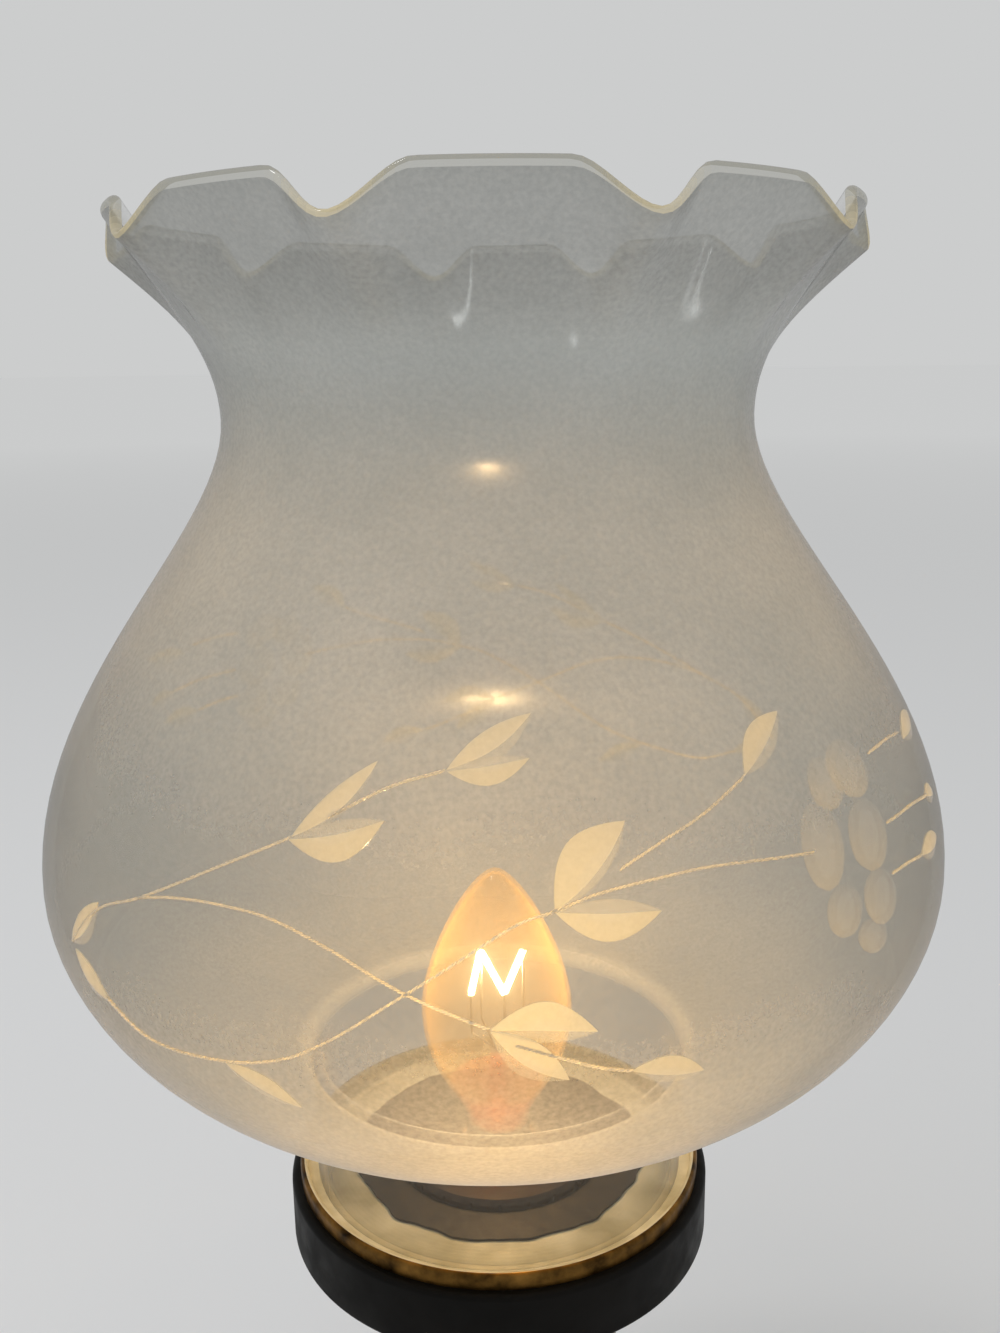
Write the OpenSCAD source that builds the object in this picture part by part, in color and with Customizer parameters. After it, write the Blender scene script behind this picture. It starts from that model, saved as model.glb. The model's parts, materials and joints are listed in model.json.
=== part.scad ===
// Electric hurricane lamp: a crimped glass shade stands on a turned column and a candle bulb burns inside it.
// Millimetres, +Z up. The origin is the middle of the underside, and -Y is the front.

/* [Shade] */
// Outside radius of the clear neck that stands on the seat
neck_r = 43; // [38:0.5:48]
// Height of the neck, up to the belly's underside
neck_h = 31; // [26:1:38]
// Radius that blends the neck into the belly
neck_fillet = 4; // [2:0.5:6]
// Outside radius of the belly
belly_r = 96; // [84:1:110]
// Height of the belly's widest ring above the seat
belly_h = 82; // [74:1:95]
// Outside radius of the waist
waist_r = 54.5; // [48:0.5:60]
// Height of the waist above the seat
waist_h = 173; // [160:1:185]
// Outside radius of the rim between two crimps
rim_r = 74.5; // [68:0.5:82]
// Height of the whole shade
shade_h = 212; // [205:1:230]
// Thickness of the glass
glass_t = 2.4; // [1.8:0.1:3]
// How far the rim dips at a crimp
crimp_drop = 7; // [3:0.5:10]
// How far the rim is drawn outwards at a crimp
crimp_flare = 3; // [1:0.5:5]
// Share of the way to the next crimp over which the rim comes back up
crimp_share = 0.26; // [0.2:0.02:0.4]

/* [Seat] */
// Play between the neck and the seat's lip
neck_play = 2.4; // [0.6:0.1:3]
// Width of the seat's lip
lip_w = 1.8; // [1:0.1:2.5]
// Height of the lip above the seat
lip_h = 2.2; // [1:0.1:3]
// Thickness of the brass seat plate
seat_t = 1.2; // [1.1:0.1:1.6]
// Radius of the brown heat disc
heat_disc_r = 34; // [28:0.5:36]
// Thickness of the heat disc
heat_disc_t = 0.6; // [0.4:0.1:1]
// Height of the platform, from its underside to the lip
platform_h = 18.5; // [14:0.5:22]
// Width of the black edge outside the lip
platform_edge = 2.1; // [1.5:0.1:6]
// Radius that rounds the platform's edges
platform_round = 1.4; // [0.8:0.1:2.5]

/* [Bulb] */
// Radius of the bulb at its widest
bulb_r = 17.5; // [14:0.5:18]
// Height of the glass above the cap
bulb_h = 63.5; // [56:0.5:75]
// Height of the widest ring above the cap
bulb_wide_h = 29; // [24:0.5:36]
// Radius of the glass where it leaves the cap
bulb_neck_r = 7; // [6.4:0.1:7.2]
// Thickness of the bulb's glass
envelope_t = 0.8; // [0.6:0.1:1]
// Radius of the cap over its thread
cap_thread_r = 6.95; // [6.9:0.01:7]
// Pitch of the cap's thread
cap_pitch = 2.82; // [2.5:0.01:3]
// Height of the whole cap, contact included
cap_h = 25; // [24:0.5:28]
// Half the width of the filament's zigzag
filament_half_w = 6; // [4:0.5:8]
// Height of the filament's zigzag
filament_h = 11; // [8:0.5:14]

/* [Lampholder] */
// Radius of the lampholder's skirt
skirt_r = 14; // [13.5:0.1:14.5]
// Wall of the lampholder's mouldings
holder_wall = 1.9; // [1.6:0.1:2.2]
// Height of the lampholder above the seat
holder_rise = 4.7; // [4:0.1:6]
// Height of the skirt, down to the dome
skirt_h = 26.5; // [25:0.5:30]
// Height of the dome
dome_h = 20; // [18:0.5:24]
// Radius of the ring that clamps the seat
socket_ring_r = 25; // [22:0.5:27]
// Height of the clamping ring
socket_ring_h = 2.8; // [2:0.1:4]

/* [Column] */
// Height of the turned column
column_h = 112; // [105:1:140]
// Radius of the column under the platform
column_neck_r = 19; // [18:0.5:21]
// Radius of the column's belly
column_belly_r = 40; // [34:1:46]
// Height of the belly on the column
column_belly_h = 40; // [34:1:46]
// Radius of the column's ankle
column_ankle_r = 15; // [13:0.5:18]
// Radius of the flange that carries the platform
column_flange_r = 21; // [20:0.5:24]
// Height of that flange
column_flange_h = 4; // [3:0.5:6]
// Radius of the brass collar between column and foot
collar_r = 20; // [18:0.5:22]
// Height of the brass collar
collar_h = 3; // [2:0.5:5]

/* [Foot] */
// Radius of the foot
foot_r = 67; // [62:1:75]
// Height of the foot
foot_h = 36; // [34:0.5:42]
// Height of the foot's upright band
foot_band_h = 22; // [21:0.5:24]
// Width of the foot's wall round the hollow under it
foot_wall = 15; // [15:0.5:18]
// Height of that hollow, from the foot's underside
recess_h = 22.5; // [22:0.5:25]
// Thickness of the felt
felt_t = 1.5; // [1:0.1:3]
// Thickness of the base plate
plate_t = 2; // [1.8:0.1:3]
// Width of the foot's edge outside the base plate
plate_edge = 8; // [7:0.5:9]
// Gap between the cast weight and the switch
weight_gap = 2; // [1.5:0.5:6]
// Thickness of the cast weight
weight_t = 8; // [5:0.5:8.5]

/* [Pipe] */
// Outside radius of the threaded pipe
pipe_r = 4.95; // [4.5:0.05:5.5]
// Bore radius of the pipe
pipe_bore_r = 3.6; // [3:0.1:3.8]
// Width of a pipe nut across its flats
nut_w = 17; // [15:0.5:18]
// Thickness of a pipe nut
nut_t = 6; // [4:0.5:6.5]
// Radius of a pipe washer
washer_r = 11; // [10:0.5:13]
// Thickness of a pipe washer
washer_t = 1.4; // [1:0.1:2]

/* [Switch] */
// Height of the switch's axis above the table
switch_z = 13; // [12.5:0.5:14]
// Radius of the switch's shaft
shaft_r = 2.95; // [2.5:0.05:3.2]
// Wall of the threaded bushing round the shaft
switch_bushing_wall = 1.95; // [1.5:0.05:2.2]
// Width of the switch case
case_w = 20; // [18:0.5:22]
// Height of the switch case
case_h = 16; // [15:0.5:17]
// Depth of the switch case
case_d = 15; // [14:0.5:15.5]
// Wall of the switch case
case_wall = 1.6; // [1.2:0.1:2]
// Radius of the knob
knob_r = 9; // [7:0.5:9.5]
// Length of the knob
knob_h = 14.5; // [12:0.5:18]

/* [Cord inlet] */
// Bore radius of the inlet, for a round cord
cord_bore_r = 3.6; // [3:0.1:4.5]
// Height of the inlet above the table
cord_z = 12; // [11.5:0.5:14]
// Wall of the inlet bushing
cord_bushing_wall = 2.4; // [1.5:0.1:3]

/* [Hidden] */
$fn = 64;
// Overshoot of a cut past the face it opens
cut = 1;
// Play of a threaded or pressed fit, on the radius
fit = 0.05;
// Play of a loose hole, on the radius
loose = 0.25;
// Play between moving pieces that pass each other
pass = 0.3;

// Levels, from the table up
foot_z = felt_t;
plate_top = foot_z + plate_t;
ceiling_z = foot_z + recess_h;
collar_z = foot_z + foot_h;
column_z = collar_z + collar_h;
platform_z = column_z + column_h;
lip_z = platform_z + platform_h;
seat_z = lip_z - lip_h;
holder_top = seat_z + holder_rise;
dome_top = holder_top - skirt_h;
dome_z = dome_top - dome_h;
bushing_flange_t = 1.5;
bushing_z = dome_z - bushing_flange_t;
nut_gap = 1.1;
top_nut_z = bushing_z - nut_gap - nut_t;
well_z = top_nut_z - washer_t;
weight_z = ceiling_z - weight_t;
bottom_washer_z = weight_z - washer_t;
bottom_nut_z = bottom_washer_z - nut_t;
pipe_end = 1.6;
pipe_z = bottom_nut_z - pipe_end;
pipe_hole_r = pipe_r + loose;

// Seat and platform
lip_r = neck_r + neck_play + lip_w;
platform_r = lip_r + platform_edge;
// Play of the lampholder in the seat and the platform
holder_play = 0.4;
seat_hole_r = skirt_r + holder_play;

// Places of the ten hand-made crimps round the rim, counted from the front towards +X
crimp_at = [-53, -18, 20, 53, 88, 124, 159, 190, 229, 268];
// Steps round the rim from one crimp to the next, as shares of the way
crimp_steps = [0, 0.09, 0.18, 0.28, 0.5, 0.72, 0.82, 0.91];

// A cubic curve through a and d with the handles b and c
function curve(a, b, c, d, n, from = 0) = [for (i = [from:n]) let (t = i / n, s = 1 - t)
    s * s * s * a + 3 * s * s * t * b + 3 * s * t * t * c + t * t * t * d];

// A step from 0 to 1 that starts and ends level
function ease(t) = let (k = min(1, max(0, t))) k * k * (3 - 2 * k);

function unit(v) = v / norm(v);

// Points of an open profile moved to its left by t
function inset(p, t) = [for (i = [0:len(p) - 1])
    let (d = unit(p[min(i + 1, len(p) - 1)] - p[max(i - 1, 0)])) p[i] + t * [-d[1], d[0]]];

function reversed(p) = [for (i = [len(p) - 1:-1:0]) p[i]];

module ring(r_out, r_in, h) {
    difference() {
        cylinder(r = r_out, h = h);
        translate([0, 0, -cut]) cylinder(r = r_in, h = h + 2 * cut);
    }
}

module hex_nut(w, h, bore) {
    corner = w / sqrt(3);
    chamfer = 0.12 * h;
    difference() {
        intersection() {
            cylinder(r = corner, h = h, $fn = 6);
            rotate_extrude() polygon([[0, 0], [w / 2, 0], [corner, chamfer], [corner, h - chamfer],
                [w / 2, h], [0, h]]);
        }
        translate([0, 0, -cut]) cylinder(r = bore, h = h + 2 * cut);
    }
}

// A flat-headed screw that points up from its head, with its slot below
module pan_screw(head_r, head_h, shank_r, shank_h) {
    slot_w = 0.3 * head_r;
    difference() {
        union() {
            cylinder(r = head_r, h = head_h);
            cylinder(r = shank_r, h = head_h + shank_h);
        }
        translate([-head_r - cut, -slot_w / 2, -cut]) cube([2 * (head_r + cut), slot_w, cut + head_h / 2]);
    }
}

// A round bar of radius r along the points, with flat ends
module tube(points, r, side, sides = 8) {
    last = len(points) - 1;
    rings = [for (i = [0:last])
        let (d = unit(points[min(i + 1, last)] - points[max(i - 1, 0)]),
            u = unit(cross(d, side)), v = cross(d, u))
        for (k = [0:sides - 1]) points[i] + r * (cos(360 * k / sides) * u + sin(360 * k / sides) * v)];
    walls = [for (i = [0:last - 1]) for (k = [0:sides - 1])
        let (a = i * sides + k, b = i * sides + (k + 1) % sides)
        each [[a, a + sides, b], [b, a + sides, b + sides]]];
    ends = [for (k = [1:sides - 2]) each [[0, k, k + 1],
        [last * sides, last * sides + k + 1, last * sides + k]]];
    polyhedron(rings, concat(walls, ends));
}

// Points of a route with its corners rounded, from a few points chosen by hand
function smooth_route(p, n = 4) = concat([p[0]], [for (i = [1:len(p) - 2])
    let (a = (p[i - 1] + p[i]) / 2, c = (p[i] + p[i + 1]) / 2)
    for (k = [0:n]) let (t = k / n, s = 1 - t) s * s * a + 2 * s * t * p[i] + t * t * c], [p[len(p) - 1]]);

// Shade

// Handles of the shade's curves, as lengths along the glass
shoulder_pull = 21;
belly_pull_low = 26;
belly_pull_high = 38.5;
waist_pull_low = 22;
waist_pull_high = 14;
rim_pull = 19;
rim_angle = 58;
shoulder_angle = 5.7;

shade_line = let (f = neck_fillet, shoulder = [neck_r + f, neck_h]) concat(
    [[neck_r, 0]],
    [for (a = [180, 135]) [neck_r + f + f * cos(a), neck_h - f + f * sin(a)]],
    curve(shoulder, shoulder + shoulder_pull * [cos(shoulder_angle), sin(shoulder_angle)],
        [belly_r, belly_h - belly_pull_low], [belly_r, belly_h], 6),
    curve([belly_r, belly_h], [belly_r, belly_h + belly_pull_high],
        [waist_r, waist_h - waist_pull_low], [waist_r, waist_h], 7, 1),
    curve([waist_r, waist_h], [waist_r, waist_h + waist_pull_high],
        [rim_r, shade_h] - rim_pull * [cos(rim_angle), sin(rim_angle)], [rim_r, shade_h], 6, 1));

// Outside upwards and inside downwards: one closed line of rings
shade_rings = concat(shade_line, reversed(inset(shade_line, glass_t)));

function next_crimp(k) = k < len(crimp_at) - 1 ? crimp_at[k + 1] : crimp_at[0] + 360;

// Each column of the shade: its angle and how much of the crimp it takes
shade_columns = [for (k = [0:len(crimp_at) - 1]) for (s = crimp_steps)
    [crimp_at[k] + s * (next_crimp(k) - crimp_at[k]), 1 - ease(min(s, 1 - s) / crimp_share)]];

// A point of the shade; the crimp grows from nothing at the waist
function shade_point(p, c) =
    let (up = max(0, (p[1] - waist_h) / (shade_h - waist_h)), pull = c[1] * up * up,
        r = p[0] + crimp_flare * pull)
    [r * sin(c[0]), -r * cos(c[0]), p[1] - crimp_drop * pull];

module glass_shade() {
    columns = len(shade_columns);
    rings = len(shade_rings);
    points = [for (p = shade_rings) for (c = shade_columns) shade_point(p, c)];
    faces = [for (i = [0:rings - 1]) for (k = [0:columns - 1])
        let (a = i * columns + k, b = i * columns + (k + 1) % columns,
            d = ((i + 1) % rings) * columns + k, e = ((i + 1) % rings) * columns + (k + 1) % columns)
        each [[a, d, b], [b, d, e]]];
    color([0.78, 0.77, 0.7, 0.5]) translate([0, 0, seat_z]) polyhedron(points, faces);
}

// Bulb

contact_h = 2;
insulator_h = 3;
contact_r = 2.4;
contact_gap = 0.3;
cap_wall = 0.6;
cap_skirt_w = 0.45;
cap_skirt_r = cap_thread_r + cap_skirt_w;
cap_skirt_h = 4;
thread_depth = 0.6;
cap_bore_r = cap_thread_r - thread_depth - cap_wall;
// Height of the cap's edge above the lampholder
cap_show = 3.5;
cap_top = holder_top + cap_show;
cap_z = cap_top - cap_h;
thread_z = cap_z + contact_h + insulator_h;
thread_h = cap_h - contact_h - insulator_h - cap_skirt_h;
glass_foot_r = bulb_neck_r - cap_wall;
glass_foot_gap = 0.3;
glass_foot_z = cap_top - cap_skirt_h + glass_foot_gap;
bulb_wide_z = cap_top + bulb_wide_h;
bulb_top = cap_top + bulb_h;

// Handles of the bulb's curves
glass_step = 1;
bulb_pull_neck = [2.5, 7.7];
bulb_pull_low = 14.5;
bulb_pull_high = 11.4;
bulb_pull_tip = [6.5, -1.2];

bulb_line = let (start = [bulb_neck_r, cap_top + glass_step], wide = [bulb_r, bulb_wide_z], tip = [0, bulb_top])
    concat([[glass_foot_r, glass_foot_z], [glass_foot_r, cap_top]],
        curve(start, start + bulb_pull_neck, wide - [0, bulb_pull_low], wide, 8),
        curve(wide, wide + [0, bulb_pull_high], tip + bulb_pull_tip, tip, 10, 1));

module bulb_envelope() {
    open_line = [for (p = inset(bulb_line, envelope_t)) [max(0, p[0]), p[1]]];
    color([0.95, 0.85, 0.6, 0.4]) rotate_extrude() polygon(concat(bulb_line, reversed(open_line)));
}

filament_rise = 3;
filament_z = bulb_wide_z + filament_rise;
filament_r = 0.35;
// The zigzag's corners from left to right, as shares of its half width
filament_shares = [-1, -0.6, 0.3, 1.05];
filament_points = [for (i = [0:3])
    [filament_half_w * filament_shares[i], 0, filament_z + (i % 2) * filament_h]];

module bulb_filament() {
    color("orange") tube(filament_points, filament_r, [0, 1, 0], 6);
}

stem_play = 0.15;
stem_r = glass_foot_r - envelope_t - stem_play;
stem_h = 20;
stem_top = glass_foot_z + stem_h;
stem_flare = [2, 6];
stem_waist_r = 3;
button_neck_r = 2.2;
button_r = 1.6;
button_h = 4;
lead_r = 0.3;
lead_x = 1.1;

module bulb_stem() {
    color([0.85, 0.9, 0.88, 0.6]) translate([0, 0, glass_foot_z]) rotate_extrude()
        polygon([[0, 0], [stem_r, 0], [stem_r, stem_flare[0]], [stem_waist_r, stem_flare[1]],
            [button_neck_r, stem_h - button_h], [button_r, stem_h], [0, stem_h]]);
}

// Two lead-in wires and two supports, each from the stem's top to just behind a corner of the zigzag
module bulb_leads() {
    clear = 0.15;
    back = filament_r + lead_r + clear;
    straight = 1.5;
    color("silver") for (i = [0:3]) {
        start = [lead_x * (2 * i / 3 - 1), back, stem_top];
        tip = filament_points[i] + [0, back, 0];
        bend = [tip[0], back, (2 * start[2] + tip[2]) / 3];
        tube([start, start + [0, 0, straight], bend, tip], lead_r, [0, 1, 0], 6);
    }
}

module bulb_cap() {
    turns = floor(thread_h / cap_pitch);
    // Rolled thread: rounded ridges one pitch apart
    thread = [for (i = [0:turns * 4]) [cap_thread_r - thread_depth * (0.5 + 0.5 * cos(90 * i)),
        thread_z + i * cap_pitch / 4]];
    edge = 0.5;
    skirt_z = cap_top - cap_skirt_h;
    color("goldenrod") rotate_extrude() polygon(concat(
        [[cap_bore_r, thread_z]], thread,
        [[cap_thread_r - thread_depth, skirt_z], [cap_skirt_r, skirt_z + edge], [cap_skirt_r, cap_top],
            [glass_foot_r + fit, cap_top], [glass_foot_r + fit, skirt_z], [cap_bore_r, skirt_z]]));
}

module bulb_insulator() {
    ledge = 0.8;
    color([0.12, 0.1, 0.1]) translate([0, 0, cap_z + contact_h]) rotate_extrude()
        polygon([[0, 0], [contact_r + ledge, 0], [cap_bore_r + cap_wall, insulator_h], [0, insulator_h]]);
}

module bulb_contact() {
    edge = 0.8;
    color("silver") translate([0, 0, cap_z]) rotate_extrude()
        polygon([[0, 0], [contact_r - edge, 0], [contact_r, edge], [contact_r, contact_h], [0, contact_h]]);
}

// Seat

module socket_ring() {
    grip = 0.6;
    grips = 24;
    edge = 1;
    color([0.1, 0.09, 0.08]) translate([0, 0, seat_z]) difference() {
        rotate_extrude() polygon([[skirt_r + fit, 0], [socket_ring_r, 0], [socket_ring_r, socket_ring_h - edge],
            [socket_ring_r - edge, socket_ring_h], [skirt_r + fit, socket_ring_h]]);
        for (i = [0:grips - 1]) rotate(360 * i / grips)
            translate([socket_ring_r + grip / 2, 0, -cut]) cylinder(r = grip, h = socket_ring_h + 2 * cut);
    }
}

module heat_disc() {
    color([0.24, 0.16, 0.1]) translate([0, 0, seat_z])
        ring(heat_disc_r, socket_ring_r + loose, heat_disc_t);
}

module seat_plate() {
    edge = lip_w / 2;
    color("darkgoldenrod") rotate_extrude() {
        translate([seat_hole_r, seat_z - seat_t]) square([lip_r - seat_hole_r, seat_t]);
        translate([lip_r - lip_w, seat_z - seat_t]) square([lip_w, seat_t + lip_h - edge]);
        translate([lip_r - edge, lip_z - edge]) circle(r = edge);
    }
}

module platform() {
    top = seat_z - seat_t;
    k = platform_round;
    h = top - platform_z;
    color([0.09, 0.09, 0.09]) rotate_extrude() {
        translate([seat_hole_r, platform_z]) square([platform_r - k - seat_hole_r, h]);
        translate([seat_hole_r, platform_z + k]) square([platform_r - seat_hole_r, h - 2 * k]);
        for (z = [platform_z + k, top - k]) translate([platform_r - k, z]) circle(r = k);
    }
}

// Lampholder

insert_r = skirt_r - holder_wall - fit;
ledge_drop = 8;
ledge_z = dome_top - ledge_drop;
mouth_play = 1.4;
mouth_r = cap_skirt_r + mouth_play;
mouth_t = 2;
shell_t = 0.55;
shell_r = cap_thread_r + pass;
insert_bore_r = shell_r + shell_t + fit;
centre_contact_h = 1.7;
socket_floor_z = cap_z - contact_gap - centre_contact_h;
insert_top = holder_top - mouth_t;
dome_step = 1;
dome_r = skirt_r + dome_step;
dome_seat_r = skirt_r - dome_step;
terminal_x = 6.5;
terminal_head_r = 2.4;
terminal_head_h = 1.7;
terminal_shank_r = 1.4;
terminal_shank_h = 5;
bushing_r = 8;
bushing_h = 7;
bushing_flange_w = 2;

module socket_skirt() {
    bore_r = insert_r + fit;
    spigot_z = ledge_z + 1;
    edge = 0.6;
    color([0.13, 0.1, 0.08]) rotate_extrude() polygon([
        [bore_r, spigot_z], [dome_seat_r - fit, spigot_z], [dome_seat_r - fit, dome_top],
        [skirt_r, dome_top], [skirt_r, holder_top - edge], [skirt_r - edge, holder_top],
        [mouth_r, holder_top], [mouth_r, insert_top], [bore_r, insert_top]]);
}

module socket_dome() {
    floor_t = 4;
    neck_wall = 2.5;
    ledge_w = 1.6;
    shoulder_drop = 3;
    ledge_r = insert_r - ledge_w;
    color([0.13, 0.1, 0.08]) rotate_extrude() polygon([
        [bushing_r + fit, dome_z], [bushing_r + neck_wall, dome_z], [dome_r, ledge_z - shoulder_drop],
        [dome_r, dome_top],
        [dome_seat_r, dome_top], [dome_seat_r, ledge_z], [ledge_r, ledge_z], [ledge_r, dome_z + floor_t],
        [bushing_r + fit, dome_z + floor_t]]);
}

module socket_insert() {
    color([0.92, 0.9, 0.85]) difference() {
        translate([0, 0, ledge_z]) cylinder(r = insert_r, h = insert_top - ledge_z);
        translate([0, 0, socket_floor_z]) cylinder(r = insert_bore_r, h = insert_top);
        for (s = [-1, 1]) translate([s * terminal_x, 0, ledge_z - cut])
            cylinder(r = terminal_shank_r + fit, h = terminal_shank_h + cut);
    }
}

module screw_shell() {
    rim_drop = 1;
    color("gold") translate([0, 0, socket_floor_z])
        ring(shell_r + shell_t, shell_r, insert_top - rim_drop - socket_floor_z);
}

module centre_contact() {
    strip_t = 0.6;
    strip_l = 10;
    strip_w = 4;
    button = 1.6;
    color("gold") translate([0, 0, socket_floor_z]) {
        translate([-strip_l / 2, -strip_w / 2, 0]) cube([strip_l, strip_w, strip_t]);
        cylinder(r = button, h = centre_contact_h);
    }
}

module terminal_screws() {
    color("silver") for (s = [-1, 1]) translate([s * terminal_x, 0, ledge_z - terminal_head_h])
        pan_screw(terminal_head_r, terminal_head_h, terminal_shank_r, terminal_shank_h);
}

module socket_bushing() {
    color("silver") translate([0, 0, bushing_z]) difference() {
        union() {
            cylinder(r = bushing_r + bushing_flange_w, h = bushing_flange_t);
            cylinder(r = bushing_r, h = bushing_flange_t + bushing_h);
        }
        translate([0, 0, -cut]) cylinder(r = pipe_r + fit, h = bushing_flange_t + bushing_h + 2 * cut);
    }
}

// Pipe and what it clamps

pipe_drop = 1;
pipe_top = bushing_z + bushing_flange_t + bushing_h - pipe_drop;

module pipe() {
    color([0.72, 0.68, 0.5]) translate([0, 0, pipe_z]) ring(pipe_r, pipe_bore_r, pipe_top - pipe_z);
}

module pipe_washer(z) {
    color("silver") translate([0, 0, z]) ring(washer_r, pipe_hole_r, washer_t);
}

module pipe_nut(z) {
    color("silver") translate([0, 0, z]) hex_nut(nut_w, nut_t, pipe_r + fit);
}

module top_washer() {
    pipe_washer(well_z);
}

module top_nut() {
    pipe_nut(top_nut_z);
}

module bottom_washer() {
    pipe_washer(bottom_washer_z);
}

module bottom_nut() {
    pipe_nut(bottom_nut_z);
}

module base_weight() {
    color([0.2, 0.2, 0.2]) difference() {
        translate([0, 0, weight_z]) ring(weight_r, pipe_hole_r, weight_t);
        translate([0, block_y, weight_z - cut]) cylinder(r = block_screw_r + fit, h = block_screw_grip + cut);
    }
}

// Column and foot

// Play of the lampholder's dome in the column's well
well_play = 1;
well_r = dome_r + well_play;

// The column's profile: a bead on the collar, an ankle, a belly, a straight neck and a flange
column_bead_r = collar_r - 1;
column_bead_h = 2.6;
column_ankle_h = 8;
column_neck_len = 17.5;
column_flange_slope = 1.5;
ankle_pull = 10;
column_pull_low = 16;
column_pull_high = 25;
column_neck_pull = 25;

column_line = let (ankle = [column_ankle_r, column_ankle_h], wide = [column_belly_r, column_belly_h],
        neck = [column_neck_r, column_h - column_neck_len], flange_h = column_h - column_flange_h)
    concat([[column_bead_r, 0], [column_bead_r, column_bead_h]],
        curve(ankle, ankle + [0, ankle_pull], wide - [0, column_pull_low], wide, 8),
        curve(wide, wide + [0, column_pull_high], neck - [0, column_neck_pull], neck, 9, 1),
        [[column_neck_r, flange_h - column_flange_slope], [column_flange_r, flange_h],
            [column_flange_r, column_h]]);

module column() {
    color([0.16, 0.1, 0.06]) translate([0, 0, column_z]) difference() {
        rotate_extrude() polygon(concat([[0, 0]], column_line, [[0, column_h]]));
        translate([0, 0, -cut]) cylinder(r = pipe_hole_r, h = column_h);
        translate([0, 0, well_z - column_z]) cylinder(r = well_r, h = column_h);
    }
}

module collar() {
    edge = collar_h / 2;
    color("darkgoldenrod") translate([0, 0, collar_z]) difference() {
        union() {
            cylinder(r = collar_r - edge, h = collar_h);
            translate([0, 0, edge]) rotate_extrude() translate([collar_r - edge, 0]) circle(r = edge);
        }
        translate([0, 0, -cut]) cylinder(r = pipe_hole_r, h = collar_h + 2 * cut);
    }
}

recess_r = foot_r - foot_wall;
plate_r = foot_r - plate_edge;
screw_angles = [0, 120, 240];
screw_head_r = 2.9;
screw_margin = 0.6;
screw_ring_r = plate_r - screw_head_r - screw_margin;
screw_head_h = 1.5;
screw_shank_r = 1.5;
screw_len = 10;
// The flat that the switch case lies against, cut a little into the hollow's wall
flat_depth = 0.2;
wall_y = recess_r + flat_depth;
case_side_play = 1;
case_flat_w = case_w + 2 * case_side_play;
switch_spot_depth = 3;
switch_spot_r = 9.7;
switch_spot_y = foot_r - switch_spot_depth;
cord_sleeve_r = cord_bore_r + cord_bushing_wall;
cord_flange_w = 2.5;
cord_flange_r = cord_sleeve_r + cord_flange_w;
cord_flange_t = 3;
cord_spot_depth = 1.5;
cord_spot_y = foot_r - cord_spot_depth;
// How far the inlet's sleeve reaches into the hollow
cord_sleeve_end = 1;

// The foot's profile: an upright band, a ledge, and an ogee up to the collar
foot_edge = 1.2;
foot_ledge = 4;
foot_step = 3;
foot_top_r = collar_r + 1;
foot_top_edge = 1.5;
foot_pull_low = [-12, 3.5];
foot_pull_high = [14, -7.5];
foot_low = [foot_r - foot_ledge, foot_band_h + foot_step];
foot_high = [foot_top_r, foot_h - foot_top_edge];

foot_line = concat(
    [[foot_r - foot_edge, 0], [foot_r, foot_edge], [foot_r, foot_band_h - foot_edge],
        [foot_r - foot_edge, foot_band_h], [foot_r - foot_ledge, foot_band_h]],
    curve(foot_low, foot_low + foot_pull_low, foot_high + foot_pull_high, foot_high, 8),
    [[foot_top_r, foot_h]]);

// Turns a shape that stands on its own z axis to point at the front, at height z
module facing_front(z) {
    translate([0, 0, z]) rotate([90, 0, 0]) children();
}

module facing_back(z) {
    translate([0, 0, z]) rotate([-90, 0, 0]) children();
}

module foot() {
    color([0.15, 0.09, 0.05]) difference() {
        translate([0, 0, foot_z]) rotate_extrude() polygon(concat([[0, 0]], foot_line, [[0, foot_h]]));
        translate([0, 0, foot_z - cut]) cylinder(r = plate_r + loose, h = plate_t + cut);
        translate([0, 0, foot_z - cut]) cylinder(r = recess_r, h = recess_h + cut);
        cylinder(r = pipe_hole_r, h = collar_z + cut);
        for (a = screw_angles) rotate(a) translate([screw_ring_r, 0, foot_z])
            cylinder(r = screw_shank_r + fit, h = screw_len + cut);
        translate([-case_flat_w / 2, -wall_y, foot_z - cut])
            cube([case_flat_w, recess_r / 2, recess_h + cut]);
        facing_front(switch_z) cylinder(r = shaft_r + fit + switch_bushing_wall + loose, h = foot_r + cut);
        facing_front(switch_z) translate([0, 0, switch_spot_y])
            cylinder(r = switch_spot_r, h = switch_spot_depth + cut);
        facing_back(cord_z) cylinder(r = cord_sleeve_r + fit, h = foot_r + cut);
        facing_back(cord_z) translate([0, 0, cord_spot_y])
            cylinder(r = cord_flange_r + loose, h = cord_spot_depth + cut);
    }
}

module base_plate() {
    color([0.55, 0.55, 0.56]) difference() {
        translate([0, 0, foot_z]) cylinder(r = plate_r, h = plate_t);
        for (a = screw_angles) rotate(a) translate([screw_ring_r, 0, foot_z]) {
            translate([0, 0, -cut]) cylinder(r = screw_shank_r + loose, h = plate_t + 2 * cut);
            cylinder(r1 = screw_head_r + fit, r2 = screw_shank_r + fit, h = screw_head_h);
        }
    }
}

module plate_screws() {
    slot_w = 0.8;
    slot_h = 0.7;
    color("silver") for (a = screw_angles) rotate(a) translate([screw_ring_r, 0, foot_z]) difference() {
        union() {
            cylinder(r1 = screw_head_r, r2 = screw_shank_r, h = screw_head_h);
            cylinder(r = screw_shank_r, h = screw_len);
        }
        translate([-screw_head_r - cut, -slot_w / 2, -cut])
            cube([2 * (screw_head_r + cut), slot_w, slot_h + cut]);
    }
}

module felt_pad() {
    felt_inset = 1;
    color([0.1, 0.2, 0.12]) cylinder(r = foot_r - foot_edge - felt_inset, h = felt_t);
}

// Switch, drawn along its own axis with z as the distance from the lamp's axis

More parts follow.
